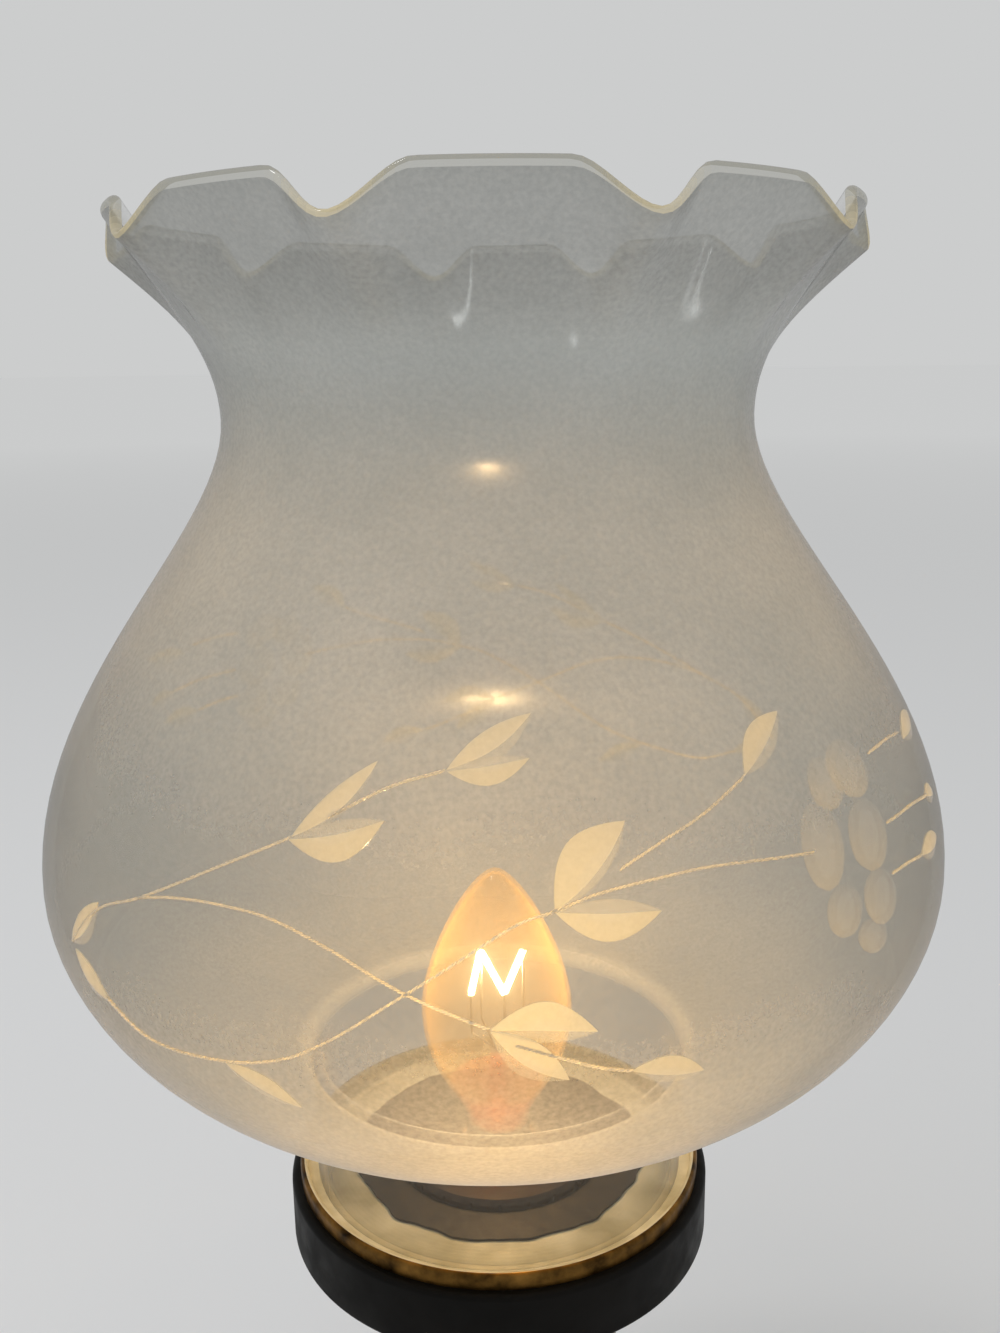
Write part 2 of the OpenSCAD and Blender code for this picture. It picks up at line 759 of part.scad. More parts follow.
cover_t = 1.2;
case_front = wall_y;
case_back = case_front - case_d;
weight_r = case_back - cover_t - weight_gap;
cavity_w = case_w - 2 * case_wall;
cavity_h = case_h - 2 * case_wall;
rotor_play = 0.6;
rotor_r = cavity_h / 2 - rotor_play;
rotor_h = 7;
rotor_inset = 3;
rotor_z = case_back + rotor_inset;
blade_t = 0.5;
blade_gap = 0.4;
blade_x = rotor_r + blade_gap + blade_t / 2;
blade_w = 4;
tag_l = 3;
tag_back = case_back - cover_t - tag_l;
switch_bore_r = shaft_r + fit;
switch_bushing_r = switch_bore_r + switch_bushing_wall;
switch_nut_w = 14;
switch_nut_t = 3;
bushing_show = 1.5;
bushing_end = switch_spot_y + switch_nut_t + bushing_show;
knob_gap = 1;
knob_z = bushing_end + knob_gap;
knob_top_t = 3;
knob_bore_h = knob_h - knob_top_t;

module switch_case() {
    color([0.12, 0.1, 0.09]) facing_front(switch_z) difference() {
        translate([-case_w / 2, -case_h / 2, case_back]) cube([case_w, case_h, case_d]);
        translate([-cavity_w / 2, -cavity_h / 2, case_back - cut])
            cube([cavity_w, cavity_h, case_d - case_wall + cut]);
        translate([0, 0, case_back]) cylinder(r = switch_bore_r, h = case_d + cut);
    }
}

module switch_cover() {
    color([0.35, 0.24, 0.14]) facing_front(switch_z) difference() {
        translate([-case_w / 2, -case_h / 2, case_back - cover_t]) cube([case_w, case_h, cover_t]);
        for (s = [-1, 1])
            translate([s * blade_x - blade_t, -blade_w / 2 - fit, case_back - cover_t - cut])
                cube([2 * blade_t, blade_w + 2 * fit, cover_t + 2 * cut]);
    }
}

module switch_blades() {
    blade_l = rotor_z + rotor_h - tag_back;
    color("gold") facing_front(switch_z) for (s = [-1, 1])
        translate([s * blade_x - blade_t / 2, -blade_w / 2, tag_back])
            cube([blade_t, blade_w, blade_l]);
}

module switch_rotor() {
    flat = 1.5 * rotor_r;
    color([0.85, 0.8, 0.7]) facing_front(switch_z) translate([0, 0, rotor_z]) difference() {
        intersection() {
            cylinder(r = rotor_r, h = rotor_h);
            translate([-flat / 2, -flat / 2, 0]) cube([flat, flat, rotor_h]);
        }
        translate([0, 0, -cut]) cylinder(r = shaft_r + fit, h = rotor_h + 2 * cut);
    }
}

module switch_shaft() {
    color("goldenrod") facing_front(switch_z) translate([0, 0, rotor_z])
        cylinder(r = shaft_r, h = knob_z + knob_bore_h - rotor_z);
}

module switch_bushing() {
    color("goldenrod") facing_front(switch_z) translate([0, 0, case_front])
        ring(switch_bushing_r, switch_bore_r, bushing_end - case_front);
}

module switch_nut() {
    color("goldenrod") facing_front(switch_z) translate([0, 0, switch_spot_y])
        hex_nut(switch_nut_w, switch_nut_t, switch_bushing_r + fit);
}

module switch_knob() {
    flutes = 16;
    flute_r = 0.9;
    low_edge = 0.5;
    edge = 1.4;
    color("darkgoldenrod") facing_front(switch_z) translate([0, 0, knob_z]) difference() {
        rotate_extrude() polygon([[0, 0], [knob_r - low_edge, 0], [knob_r, low_edge], [knob_r, knob_h - edge],
            [knob_r - edge, knob_h], [0, knob_h]]);
        for (i = [0:flutes - 1]) rotate(360 * i / flutes) translate([knob_r + flute_r / 3, 0, -cut])
            cylinder(r = flute_r, h = knob_h + 2 * cut);
        translate([0, 0, -cut]) cylinder(r = shaft_r + fit, h = knob_bore_h + cut);
    }
}

// Cord inlet and wiring

module cord_bushing() {
    sleeve_y = recess_r - cord_sleeve_end;
    color([0.1, 0.1, 0.1]) facing_back(cord_z) difference() {
        union() {
            translate([0, 0, sleeve_y]) cylinder(r = cord_sleeve_r, h = cord_spot_y - sleeve_y);
            translate([0, 0, cord_spot_y]) cylinder(r = cord_flange_r, h = cord_flange_t);
        }
        cylinder(r = cord_bore_r, h = foot_r + 2 * cord_flange_t);
    }
}

block_w = 22;
block_d = 14;
block_h = 10;
block_y = 22;
block_z = weight_z - block_h;
block_hole_r = 1.6;
block_hole_x = 6.5;
block_hole_z = 5;
block_screw_r = 1.5;
block_screw_grip = 5;
block_head_r = 2.7;
block_head_h = 1.6;
block_head_play = 0.15;
clamp_screw_r = 1.2;

module connector_block() {
    color([0.9, 0.88, 0.82]) translate([0, block_y, block_z]) difference() {
        translate([-block_w / 2, -block_d / 2, 0]) cube([block_w, block_d, block_h]);
        for (s = [-1, 1]) translate([s * block_hole_x, 0, block_hole_z]) rotate([90, 0, 0])
            cylinder(r = block_hole_r, h = block_d + 2 * cut, center = true);
        for (s = [-1, 1]) translate([s * block_hole_x, block_d / 4, -cut])
            cylinder(r = clamp_screw_r + fit, h = block_hole_z + cut);
        translate([0, 0, -cut]) cylinder(r = block_screw_r + fit, h = block_h + 2 * cut);
        translate([0, 0, -cut]) cylinder(r = block_head_r + block_head_play, h = block_head_h + cut);
    }
}

// The clamping screws stop short of the wire holes' middle
module connector_screws() {
    slot_w = 0.6;
    slot_h = 1;
    len_up = block_hole_z - block_hole_r / 2;
    clamp_y = block_y + block_d / 4;
    color("silver") for (s = [-1, 1]) translate([s * block_hole_x, clamp_y, block_z]) difference() {
        cylinder(r = clamp_screw_r, h = len_up);
        translate([-clamp_screw_r - cut, -slot_w / 2, -cut])
            cube([2 * (clamp_screw_r + cut), slot_w, cut + slot_h]);
    }
}

module block_screw() {
    color("silver") translate([0, block_y, block_z])
        pan_screw(block_head_r, block_head_h, block_screw_r, block_h - block_head_h + block_screw_grip);
}

wire_r = 0.8;
wire_x = 1.4;
wire_gap = 0.1;
wire_low = plate_top + 2 * wire_r;
terminal_low = ledge_z - terminal_head_h - wire_r - wire_gap;
tag_y = wire_gap - tag_back;
wire_grip = 4;
hole_y = block_y - block_d / 2 + wire_grip;
hole_z = block_z + block_hole_z;

// From the lampholder down the pipe: the route's upper half, on the side s
function down_pipe(s) = [[s * (terminal_x + 1), 0, terminal_low], [s * 4.5, 0, terminal_low],
    [s * wire_x, 0, pipe_top - 0.4], [s * wire_x, 0, pipe_z + 12], [s * wire_x, 0, pipe_z - 0.5]];

live_route = concat(down_pipe(1), [[wire_x, -6, wire_low], [-4, tag_y + 13, wire_low],
    [-blade_x, tag_y + 6, switch_z - 3], [-blade_x, tag_y + 4, switch_z], [-blade_x, tag_y, switch_z]]);
neutral_route = concat(down_pipe(-1), [[-wire_x, 5, wire_low], [-block_hole_x, 9, wire_low],
    [-block_hole_x, 11, hole_z], [-block_hole_x, hole_y, hole_z]]);
switch_route = [[block_hole_x, hole_y, hole_z], [block_hole_x, 10, hole_z], [14, 6, wire_low + 3],
    [17, -6, wire_low + 2], [12, tag_y + 13, wire_low + 3], [blade_x, tag_y + 6, switch_z],
    [blade_x, tag_y, switch_z]];

module live_lead() {
    color([0.25, 0.14, 0.08]) tube(smooth_route(live_route), wire_r, [0.55, 0.48, 0.68]);
}

module neutral_lead() {
    color([0.2, 0.3, 0.55]) tube(smooth_route(neutral_route), wire_r, [0.55, -0.48, 0.68]);
}

module switch_lead() {
    color([0.25, 0.14, 0.08]) tube(smooth_route(switch_route), wire_r, [0, 0, 1]);
}

glass_shade();
bulb_envelope();
bulb_filament();
bulb_leads();
bulb_stem();
bulb_cap();
bulb_insulator();
bulb_contact();
socket_ring();
heat_disc();
seat_plate();
platform();
socket_skirt();
socket_dome();
socket_insert();
screw_shell();
centre_contact();
terminal_screws();
socket_bushing();
pipe();
top_washer();
top_nut();
column();
collar();
foot();
base_weight();
bottom_washer();
bottom_nut();
base_plate();
plate_screws();
felt_pad();
switch_case();
switch_cover();
switch_blades();
switch_rotor();
switch_shaft();
switch_bushing();
switch_nut();
switch_knob();
cord_bushing();
connector_block();
connector_screws();
block_screw();
live_lead();
neutral_lead();
switch_lead();
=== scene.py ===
"""Looks of an electric hurricane lamp: satin glass with a cut vine, a lit candle bulb, brass and wood."""

import json
import logging
import math
from dataclasses import dataclass
from enum import Enum
from typing import Any, Iterable, Sequence

import bmesh
import bpy
from mathutils import Matrix, Vector, noise
from mathutils.geometry import interpolate_bezier

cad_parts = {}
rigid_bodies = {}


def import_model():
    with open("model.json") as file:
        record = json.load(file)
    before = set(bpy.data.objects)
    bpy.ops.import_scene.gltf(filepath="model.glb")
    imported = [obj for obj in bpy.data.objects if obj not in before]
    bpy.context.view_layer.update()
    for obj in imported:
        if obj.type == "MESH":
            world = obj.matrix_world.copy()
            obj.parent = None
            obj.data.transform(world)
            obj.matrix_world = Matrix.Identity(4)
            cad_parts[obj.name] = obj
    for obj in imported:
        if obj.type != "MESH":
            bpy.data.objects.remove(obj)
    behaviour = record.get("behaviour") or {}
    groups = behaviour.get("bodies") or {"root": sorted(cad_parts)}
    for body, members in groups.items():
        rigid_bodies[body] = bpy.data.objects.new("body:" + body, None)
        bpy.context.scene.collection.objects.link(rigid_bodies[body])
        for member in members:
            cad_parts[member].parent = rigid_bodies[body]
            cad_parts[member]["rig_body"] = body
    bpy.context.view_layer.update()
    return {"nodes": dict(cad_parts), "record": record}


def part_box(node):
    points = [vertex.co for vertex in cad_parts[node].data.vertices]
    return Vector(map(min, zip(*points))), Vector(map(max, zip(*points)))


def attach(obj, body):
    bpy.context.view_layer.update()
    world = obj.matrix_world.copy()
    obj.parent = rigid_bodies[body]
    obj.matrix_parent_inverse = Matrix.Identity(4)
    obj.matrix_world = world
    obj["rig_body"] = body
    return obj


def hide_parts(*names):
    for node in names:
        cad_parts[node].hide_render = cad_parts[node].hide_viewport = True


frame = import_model()

log = logging.getLogger("hurricane_lamp")

# One millimetre in the frame's metres
MM = 0.001
# Width of the photograph in pixels
PHOTO_W = 1000
# Height above the lamp's top, in millimetres
OVERHEAD = 400
# Vertices closer than this many metres are one
WELD = 1e-6
# Name of the face layer that says how strong a face's haze is
TONE = "tone"

Tree = bpy.types.NodeTree
Socket = bpy.types.NodeSocket
# A place on the shade: degrees from the front towards +X, and millimetres above the seat
Spot = tuple[float, float]
# Height above the floor in millimetres and a number there, for each stop
Layers = tuple[tuple[float, float], ...]


class CutKind(Enum):
    """Outlines that the engraver's wheel leaves."""

    LEAF = "leaf"
    PETAL = "petal"


class GlassFace(Enum):
    """Faces of the shade's glass, by the index of their finish."""

    ETCHED = 0
    RIM = 1
    INNER = 2


# Small helpers


def linear(code: str) -> tuple[float, float, float, float]:
    """Turns an sRGB hex colour into a linear one.

    Args:
        code: Six hex digits after a hash.

    Returns:
        Red, green, blue and an alpha of 1.
    """
    values = [int(code[i:i + 2], 16) / 255 for i in (1, 3, 5)]
    return (*(v / 12.92 if v <= 0.04045 else ((v + 0.055) / 1.055) ** 2.4 for v in values), 1.0)


def add(tree: Tree, kind: str, inputs: dict[str | int, Any] | None = None, **settings: Any) -> bpy.types.Node:
    """Adds a node with its settings, values and links.

    Args:
        tree: The material's node tree.
        kind: Blender's name of the node.
        inputs: A value for each input, or the socket that feeds it.
        settings: The node's own settings.

    Returns:
        The new node.
    """
    made = tree.nodes.new(kind)
    for name, value in settings.items():
        setattr(made, name, value)
    for key, value in (inputs or {}).items():
        if isinstance(value, Socket):
            tree.links.new(value, made.inputs[key])
        else:
            made.inputs[key].default_value = value
    return made


def maths(tree: Tree, operation: str, first: Socket | float, second: Socket | float,
          **settings: Any) -> Socket:
    """Two numbers brought together.

    Args:
        tree: The material's node tree.
        operation: Blender's name of the sum.
        first: The first number or its socket.
        second: The second number or its socket.
        settings: The node's other settings.

    Returns:
        The result's socket.
    """
    return add(tree, "ShaderNodeMath", {0: first, 1: second}, operation=operation, **settings).outputs[0]


def per_mm(size: float) -> float:
    """Texture scale, per metre, of a pattern whose repeat is size millimetres."""
    return 1 / (size * MM)


def spots(tree: Tree, size: float, detail: float = 4.0, stretch: Sequence[float] = (1, 1, 1)) -> Socket:
    """Cloudy noise on the piece's own coordinates.

    Args:
        tree: The material's node tree.
        size: Width of a spot in millimetres.
        detail: Octaves of finer noise.
        stretch: Density along each axis, for grain and streaks.

    Returns:
        A factor around 0.5.
    """
    coords = add(tree, "ShaderNodeTexCoord").outputs["Object"]
    placed = add(tree, "ShaderNodeMapping", {"Vector": coords, "Scale": stretch}).outputs["Vector"]
    return add(tree, "ShaderNodeTexNoise",
               {"Vector": placed, "Scale": per_mm(size), "Detail": detail}).outputs["Fac"]


def between(tree: Tree, factor: Socket, low: str, high: str, start: float = 0.3, end: float = 0.7) -> Socket:
    """A colour that goes from one hex to another as a factor grows.

    Args:
        tree: The material's node tree.
        factor: What drives the colour.
        low: Hex colour at the start.
        high: Hex colour at the end.
        start: Factor where the change begins.
        end: Factor where it is done.

    Returns:
        The colour's socket.
    """
    share = ranged(tree, factor, 0.0, 1.0, start, end)
    return add(tree, "ShaderNodeMix", {0: share, 6: linear(low), 7: linear(high)},
               data_type="RGBA").outputs[2]


def ranged(tree: Tree, factor: Socket, low: float, high: float,
           start: float = 0.3, end: float = 0.7) -> Socket:
    """A number that goes from low to high as a factor grows.

    Args:
        tree: The material's node tree.
        factor: What drives the number.
        low: Number at the start.
        high: Number at the end.
        start: Factor where the change begins.
        end: Factor where it is done.

    Returns:
        The number's socket.
    """
    values = {"Value": factor, "From Min": start, "From Max": end, "To Min": low, "To Max": high}
    return add(tree, "ShaderNodeMapRange", values).outputs["Result"]


def stepped(tree: Tree, height: Socket, stops: Layers) -> Socket:
    """A number that runs through stops as the height grows.

    Args:
        tree: The material's node tree.
        height: Metres above the floor.
        stops: The stops, at least two.

    Returns:
        The number's socket.
    """
    low, high = stops[0][0], stops[-1][0]
    made = add(tree, "ShaderNodeValToRGB", {"Fac": ranged(tree, height, 0.0, 1.0, low * MM, high * MM)})
    line = made.color_ramp.elements
    for at, _ in stops[1:-1]:
        line.new((at - low) / (high - low))
    for element, (_, value) in zip(line, stops):
        element.color = (value, value, value, 1)
    return made.outputs["Color"]


def all_over(value: float) -> Layers:
    """The same number at every height."""
    return (0, value), (OVERHEAD, value)


# Finishes


@dataclass(frozen=True)
class Finish:
    """A surface named for its material and how it was made.

    Attributes:
        name: Name of the material.
    """

    name: str

    def material(self) -> bpy.types.Material:
        """Builds the material once.

        Returns:
            The material, or the one built before.
        """
        made = bpy.data.materials.get(self.name)
        if made is None:
            made = bpy.data.materials.new(self.name)
            made.use_nodes = True
            made.node_tree.nodes.clear()
            add(made.node_tree, "ShaderNodeOutputMaterial", {"Surface": self.surface(made.node_tree)})
        return made

    def surface(self, tree: Tree) -> Socket:
        """Adds the finish's nodes and returns their shader."""
        raise NotImplementedError


@dataclass(frozen=True)
class HazyGlass(Finish):
    """Glass that passes a sharp view and lays a lit haze over it.

    Attributes:
        tint: Colour that the face passes.
        haze_hex: Colour of the haze.
        layers: Share of the face that scatters, by height.
        cloud: Width of the haze's clouds in millimetres.
        grain: How much the haze's fine grain varies it.
        gloss: Roughness of the mirror on the surface.
        matt_below: Height in millimetres under which the surface is matt.
        dark_edge: How much darker the glass is along its outline, where the way through it is long.
        edge_gain: How much denser the haze is there, or thinner when below 0.
        toned: Whether the mesh says how strong the haze of each face is.
        ahead: Share of the haze's light that goes on through the glass, the rest turns back.
        lobe: Share of that light that keeps near its way, the rest spreads evenly.
        matt: Roughness where the surface is matt.
        matt_fade: Half the height over which the gloss comes in, in millimetres.
        painted_dimming: Share of its light that the tint lets pass, by height; below 1 it is painted shade
            that darkens the glass.
        slant_power: How late the haze changes towards the outline.
        edge_power: How late the mirror and the dark edge come in there.
        mirror: Share of light that is mirrored straight on, and at the very edge.
        clouds: Least and greatest density of the clouds.
        grain_size: Width of the fine grain in millimetres.
        spread: Roughness of the scattered light that keeps near its way.
        index: Refractive index for that light.
    """

    tint: str
    haze_hex: str
    layers: Layers
    cloud: float = 26.0
    grain: float = 0.15
    gloss: float = 0.07
    matt_below: float = 0.0
    dark_edge: float = 0.0
    edge_gain: float = 0.0
    toned: bool = False
    ahead: float = 0.5
    lobe: float = 0.0
    matt: float = 0.75
    matt_fade: float = 8.0
    painted_dimming: Layers = all_over(1.0)
    slant_power: float = 2.5
    edge_power: float = 5.0
    mirror: tuple[float, float] = (0.04, 0.6)
    clouds: tuple[float, float] = (0.85, 1.15)
    grain_size: float = 0.9
    spread: float = 1.0
    index: float = 1.6

    def share(self, tree: Tree, slant: Socket, height: Socket) -> Socket:
        """Share of the surface that scatters.

        Args:
            tree: The material's node tree.
            slant: How obliquely the glass is seen, from 0 to 1.
            height: Metres above the floor.

        Returns:
            The share's socket.
        """
        share = stepped(tree, height, self.layers)
        factors = [ranged(tree, spots(tree, self.cloud), *self.clouds),
                   ranged(tree, spots(tree, self.grain_size, 2.0), 1 - self.grain, 1 + self.grain),
                   ranged(tree, slant, 1.0, 1.0 + self.edge_gain, 0.0, 1.0)]
        if self.toned:
            factors.append(add(tree, "ShaderNodeAttribute", attribute_name=TONE).outputs["Fac"])
        for factor in factors:
            share = maths(tree, "MULTIPLY", share, factor, use_clamp=True)
        return share

    def surface(self, tree: Tree) -> Socket:
        """Adds the finish's nodes.

        Args:
            tree: The material's node tree.

        Returns:
            The shader's socket.
        """
        coords = add(tree, "ShaderNodeTexCoord").outputs["Object"]
        height = add(tree, "ShaderNodeSeparateXYZ", {"Vector": coords}).outputs["Z"]
        facing = add(tree, "ShaderNodeLayerWeight", {"Blend": 0.5}).outputs["Facing"]
        slant = maths(tree, "POWER", facing, self.slant_power)
        edge = maths(tree, "POWER", facing, self.edge_power)
        haze = {"Color": linear(self.haze_hex)}
        back = add(tree, "ShaderNodeBsdfDiffuse", haze).outputs[0]
        even = add(tree, "ShaderNodeBsdfTranslucent", haze).outputs[0]
        near = add(tree, "ShaderNodeBsdfRefraction",
                   {**haze, "Roughness": self.spread, "IOR": self.index}).outputs[0]
        through = add(tree, "ShaderNodeMixShader", {0: self.lobe, 1: even, 2: near}).outputs[0]
        scatter = add(tree, "ShaderNodeMixShader", {0: self.ahead, 1: back, 2: through}).outputs[0]
        # Darker along the outline, and darker by height where painted_dimming paints shade
        dim = maths(tree, "MULTIPLY", ranged(tree, edge, 1.0, 1.0 - self.dark_edge, 0.0, 1.0),
                    stepped(tree, height, self.painted_dimming))
        passed = add(tree, "ShaderNodeVectorMath", {0: linear(self.tint)[:3], 1: dim},
                     operation="MULTIPLY").outputs[0]
        clear = add(tree, "ShaderNodeBsdfTransparent", {"Color": passed}).outputs[0]
        hazy = self.share(tree, slant, height)
        body = add(tree, "ShaderNodeMixShader", {0: hazy, 1: clear, 2: scatter}).outputs[0]
        mirror_share = ranged(tree, edge, *self.mirror, 0.0, 1.0)
        fade = (self.matt_below - self.matt_fade) * MM, (self.matt_below + self.matt_fade) * MM
        rough = ranged(tree, height, self.matt, self.gloss, *fade)
        mirror = add(tree, "ShaderNodeBsdfGlossy", {"Roughness": rough}).outputs[0]
        return add(tree, "ShaderNodeMixShader", {0: mirror_share, 1: body, 2: mirror}).outputs[0]


@dataclass(frozen=True)
class Glowing(Finish):
    """Metal hot enough to give light.

    Attributes:
        cool: Colour of its cooler spots.
        hot: Colour of its hottest spots.
        strength: How bright it glows.
        size: Width of the spots in millimetres.
        metal: Colour of the bare metal.
    """

    cool: str
    hot: str
    strength: float
    size: float = 3.0
    metal: str = "#3a3632"

    def surface(self, tree: Tree) -> Socket:
        """Adds the finish's nodes.

        Args:
            tree: The material's node tree.

        Returns:
            The shader's socket.
        """
        colour = between(tree, spots(tree, self.size), self.cool, self.hot)
        return add(tree, "ShaderNodeBsdfPrincipled",
                   {"Base Color": linear(self.metal), "Metallic": 1.0, "Roughness": 0.5,
                    "Emission Color": colour, "Emission Strength": self.strength}).outputs[0]


@dataclass(frozen=True)
class Worked(Finish):
    """A solid finish with two tones, grain, and an uneven gloss.

    Attributes:
        low: Darker hex colour.
        high: Lighter hex colour.
        size: Width of the tones' spots in millimetres.
        rough: Least and greatest roughness.
        metallic: 1 for metals, 0 for the rest.
        grain: Size of the surface's relief in millimetres.
        relief: Depth of that relief in millimetres.
        stretch: Density of the tones along each axis.
        coat: Share of clear varnish or glaze on top.
        sheen: Share of soft fibre sheen.
        rings: Spacing of turning marks round Z in millimetres, 0 for none.
        specular: Strength of the surface's own mirror.
    """

    low: str
    high: str
    size: float
    rough: tuple[float, float]
    metallic: float = 0.0
    grain: float = 0.6
    relief: float = 0.03
    stretch: tuple[float, float, float] = (1, 1, 1)
    coat: float = 0.0
    sheen: float = 0.0
    rings: float = 0.0
    specular: float = 0.5

    def surface(self, tree: Tree) -> Socket:
        """Adds the finish's nodes.

        Args:
            tree: The material's node tree.

        Returns:
            The shader's socket.
        """
        tone = spots(tree, self.size, 5.0, self.stretch)
        wear = spots(tree, self.size / 3)
        height = spots(tree, self.grain, 3.0, self.stretch)
        if self.rings:
            coords = add(tree, "ShaderNodeTexCoord").outputs["Object"]
            # A ring wave repeats every 0.314 units at a scale of 1
            wave = add(tree, "ShaderNodeTexWave",
                       {"Vector": coords, "Scale": 0.314 * per_mm(self.rings), "Distortion": 0.6,
                        "Detail": 1.0}, wave_type="RINGS", rings_direction="Z").outputs["Fac"]
            height = maths(tree, "ADD", height, wave)
        bump = add(tree, "ShaderNodeBump", {"Strength": 0.6, "Distance": self.relief * MM, "Height": height})
        values = {"Base Color": between(tree, tone, self.low, self.high), "Metallic": self.metallic,
                  "Roughness": ranged(tree, wear, *self.rough), "Coat Weight": self.coat,
                  "Coat Roughness": 0.12, "Sheen Weight": self.sheen, "Sheen Roughness": 0.5,
                  "Specular IOR Level": self.specular, "Normal": bump.outputs["Normal"]}
        return add(tree, "ShaderNodeBsdfPrincipled", values).outputs[0]


@dataclass(frozen=True)
class PaleFloor(Finish):
    """A matt floor painted paler with the distance from the lamp, painted light that blends its far part into
    the sky.

    Attributes:
        near: Hex colour beside the lamp.
        far: Hex colour far from it.
        reach: Metres from the lamp where the change begins and ends.
    """

    near: str
    far: str
    reach: tuple[float, float]

    def surface(self, tree: Tree) -> Socket:
        """Adds the finish's nodes.

        Args:
            tree: The material's node tree.

        Returns:
            The shader's socket.
        """
        coords = add(tree, "ShaderNodeTexCoord").outputs["Object"]
        away = add(tree, "ShaderNodeVectorMath", {0: coords}, operation="LENGTH").outputs["Value"]
        colour = between(tree, away, self.near, self.far, *self.reach)
        return add(tree, "ShaderNodeBsdfDiffuse", {"Color": colour}).outputs[0]


# Etched soda glass: hazy but not blurred; its grey tint, and the tint darkening towards the rim, are painted
# shade for a dim room seen through it; creamy where the lamp lights its underside, clear at the neck
SATIN_GLASS = HazyGlass("satin_etched_soda_glass", "#c8cbc9", "#eeede8",
                        ((195, 0.02), (200, 0.84), (209, 0.82), (217, 0.64), (226, 0.48), (236, 0.36),
                         (247, 0.22), (257, 0.15), (272, 0.15), (286, 0.25), (300, 0.36), (324, 0.43),
                         (345, 0.4), (382, 0.38)),
                        grain=0.16, gloss=0.15, matt_below=222, dark_edge=0.6, edge_gain=-0.35, ahead=0.7,
                        lobe=0.38, painted_dimming=((356, 1.0), (369, 0.55), (400, 0.5)))
# Its inner face, which the acid did not touch: clear
INNER_GLASS = HazyGlass("unetched_inner_soda_glass", "#ffffff", "#eeede8", all_over(0.0), gloss=0.22,
                        matt_below=222)
# Fire-polished rim: clear on the flats; in the crimps a denser haze, a painted glow for the lamp's light that
# the glass carries to its edge
RIM_GLASS = HazyGlass("fire_polished_rim_glass", "#dededa", "#fff0c8", all_over(0.4), grain=0.0,
                      gloss=0.03, toned=True)
# Wheel-cut facets left unpolished: a lighter, denser haze, with one slope painted brighter and the other
# painted darker, as if lit from one side
CUT_GLASS = HazyGlass("wheel_cut_unpolished_glass", "#ffffff", "#f2f1ea", all_over(0.4), cloud=8.0,
                      grain=0.05, gloss=0.2, toned=True, ahead=0.85, lobe=0.2)
# Short slanting cuts of the stems: bright threads
STEM_CUT = HazyGlass("wheel_cut_thread_glass", "#ffffff", "#fffaf0", all_over(0.9), gloss=0.2,
                     ahead=0.85, lobe=0.3)
# Shallow cuts: only a little lighter than the etched ground, most at their lower end
SHALLOW_CUT = HazyGlass("shallow_wheel_cut_glass", "#ffffff", "#f6efdc", all_over(0.09), cloud=8.0,
                        grain=0.05, gloss=0.2, toned=True, ahead=0.85, lobe=0.2)
# Blown lamp glass: clear, with a faint amber haze, a painted glow standing in for the light the glass takes
# from the filament
BULB_GLASS = HazyGlass("blown_clear_lamp_glass", "#fdf9ee", "#ffd080", all_over(0.028), cloud=10.0,
                       gloss=0.04, edge_gain=7.0)
# Foot of the lamp glass: thicker, its salmon haze a painted reflection of warm light thrown back from inside
# the cap
FOOT_GLASS = HazyGlass("fused_lamp_glass_foot", "#ffe9d2", "#ffac6c", all_over(0.14), cloud=4.0,
                       gloss=0.05)
# Pressed stem glass: its orange haze is a painted glow of the filament's light beside the leads
STEM_GLASS = HazyGlass("pressed_stem_glass", "#f6d2a4", "#f08a4a", all_over(0.06), cloud=6.0,
                       gloss=0.05)
# Coiled tungsten at white heat
TUNGSTEN = Glowing("coiled_tungsten_at_white_heat", "#ffd487", "#fff2cf", 60.0)
# Spun brass, lacquered: pale gold, duller in patches, with fine turning rings
SPUN_BRASS = Worked("spun_lacquered_brass", "#b0a888", "#e6e0c8", 11.0, (0.45, 0.62), 0.1, 0.8, 0.02,
                    rings=1.1)
# Worn brass edge: the lacquer has gone and the metal has turned brown
WORN_BRASS = Worked("worn_brown_brass", "#241809", "#8a6530", 5.0, (0.35, 0.55), 1.0, 0.8, 0.05)
# Machined brass: brighter, with a finer grain
TURNED_BRASS = Worked("machined_brass", "#8f6f35", "#c9a558", 9.0, (0.22, 0.38), 1.0, 0.5, 0.02, rings=0.7)
# Knurled brass knob: brown brass mottled with brighter patches
KNURLED_BRASS = Worked("knurled_rubbed_brass", "#8a6a32", "#d0ad62", 6.0, (0.25, 0.42), 1.0, 0.7, 0.02)
# Black lacquer on a turned disc: near black with a brown cast and a soft gloss
BLACK_LACQUER = Worked("turned_black_lacquer", "#060605", "#12100d", 18.0, (0.4, 0.6), grain=1.2,
                       specular=0.08)
# Turned hardwood, stained and varnished: long dark grain under a satin coat
DARK_WOOD = Worked("turned_stained_hardwood", "#1c0f08", "#4a2a16", 7.0, (0.3, 0.5), stretch=(1, 1, 0.12),
                   coat=0.08, grain=1.4, relief=0.06, specular=0.2)
# Pressed fibre: dark brown, dry and mottled
HEAT_FIBRE = Worked("pressed_heat_fibre", "#0d0b09", "#3a3228", 2.6, (0.5, 0.7), grain=0.8, relief=0.06)
# Bakelite: dark brown, faintly marbled, with a soft moulded gloss
BAKELITE = Worked("moulded_bakelite", "#120b07", "#2b1a10", 9.0, (0.3, 0.45), coat=0.2)
# Glazed porcelain: warm white under a glossy glaze
PORCELAIN = Worked("glazed_porcelain", "#d9d2c2", "#f1ece0", 12.0, (0.15, 0.25), coat=0.6)
# Drawn steel with a zinc coat: cool grey, finely mottled
STEEL = Worked("zinc_plated_steel", "#7d7f80", "#b4b5b3", 6.0, (0.3, 0.5), 1.0)
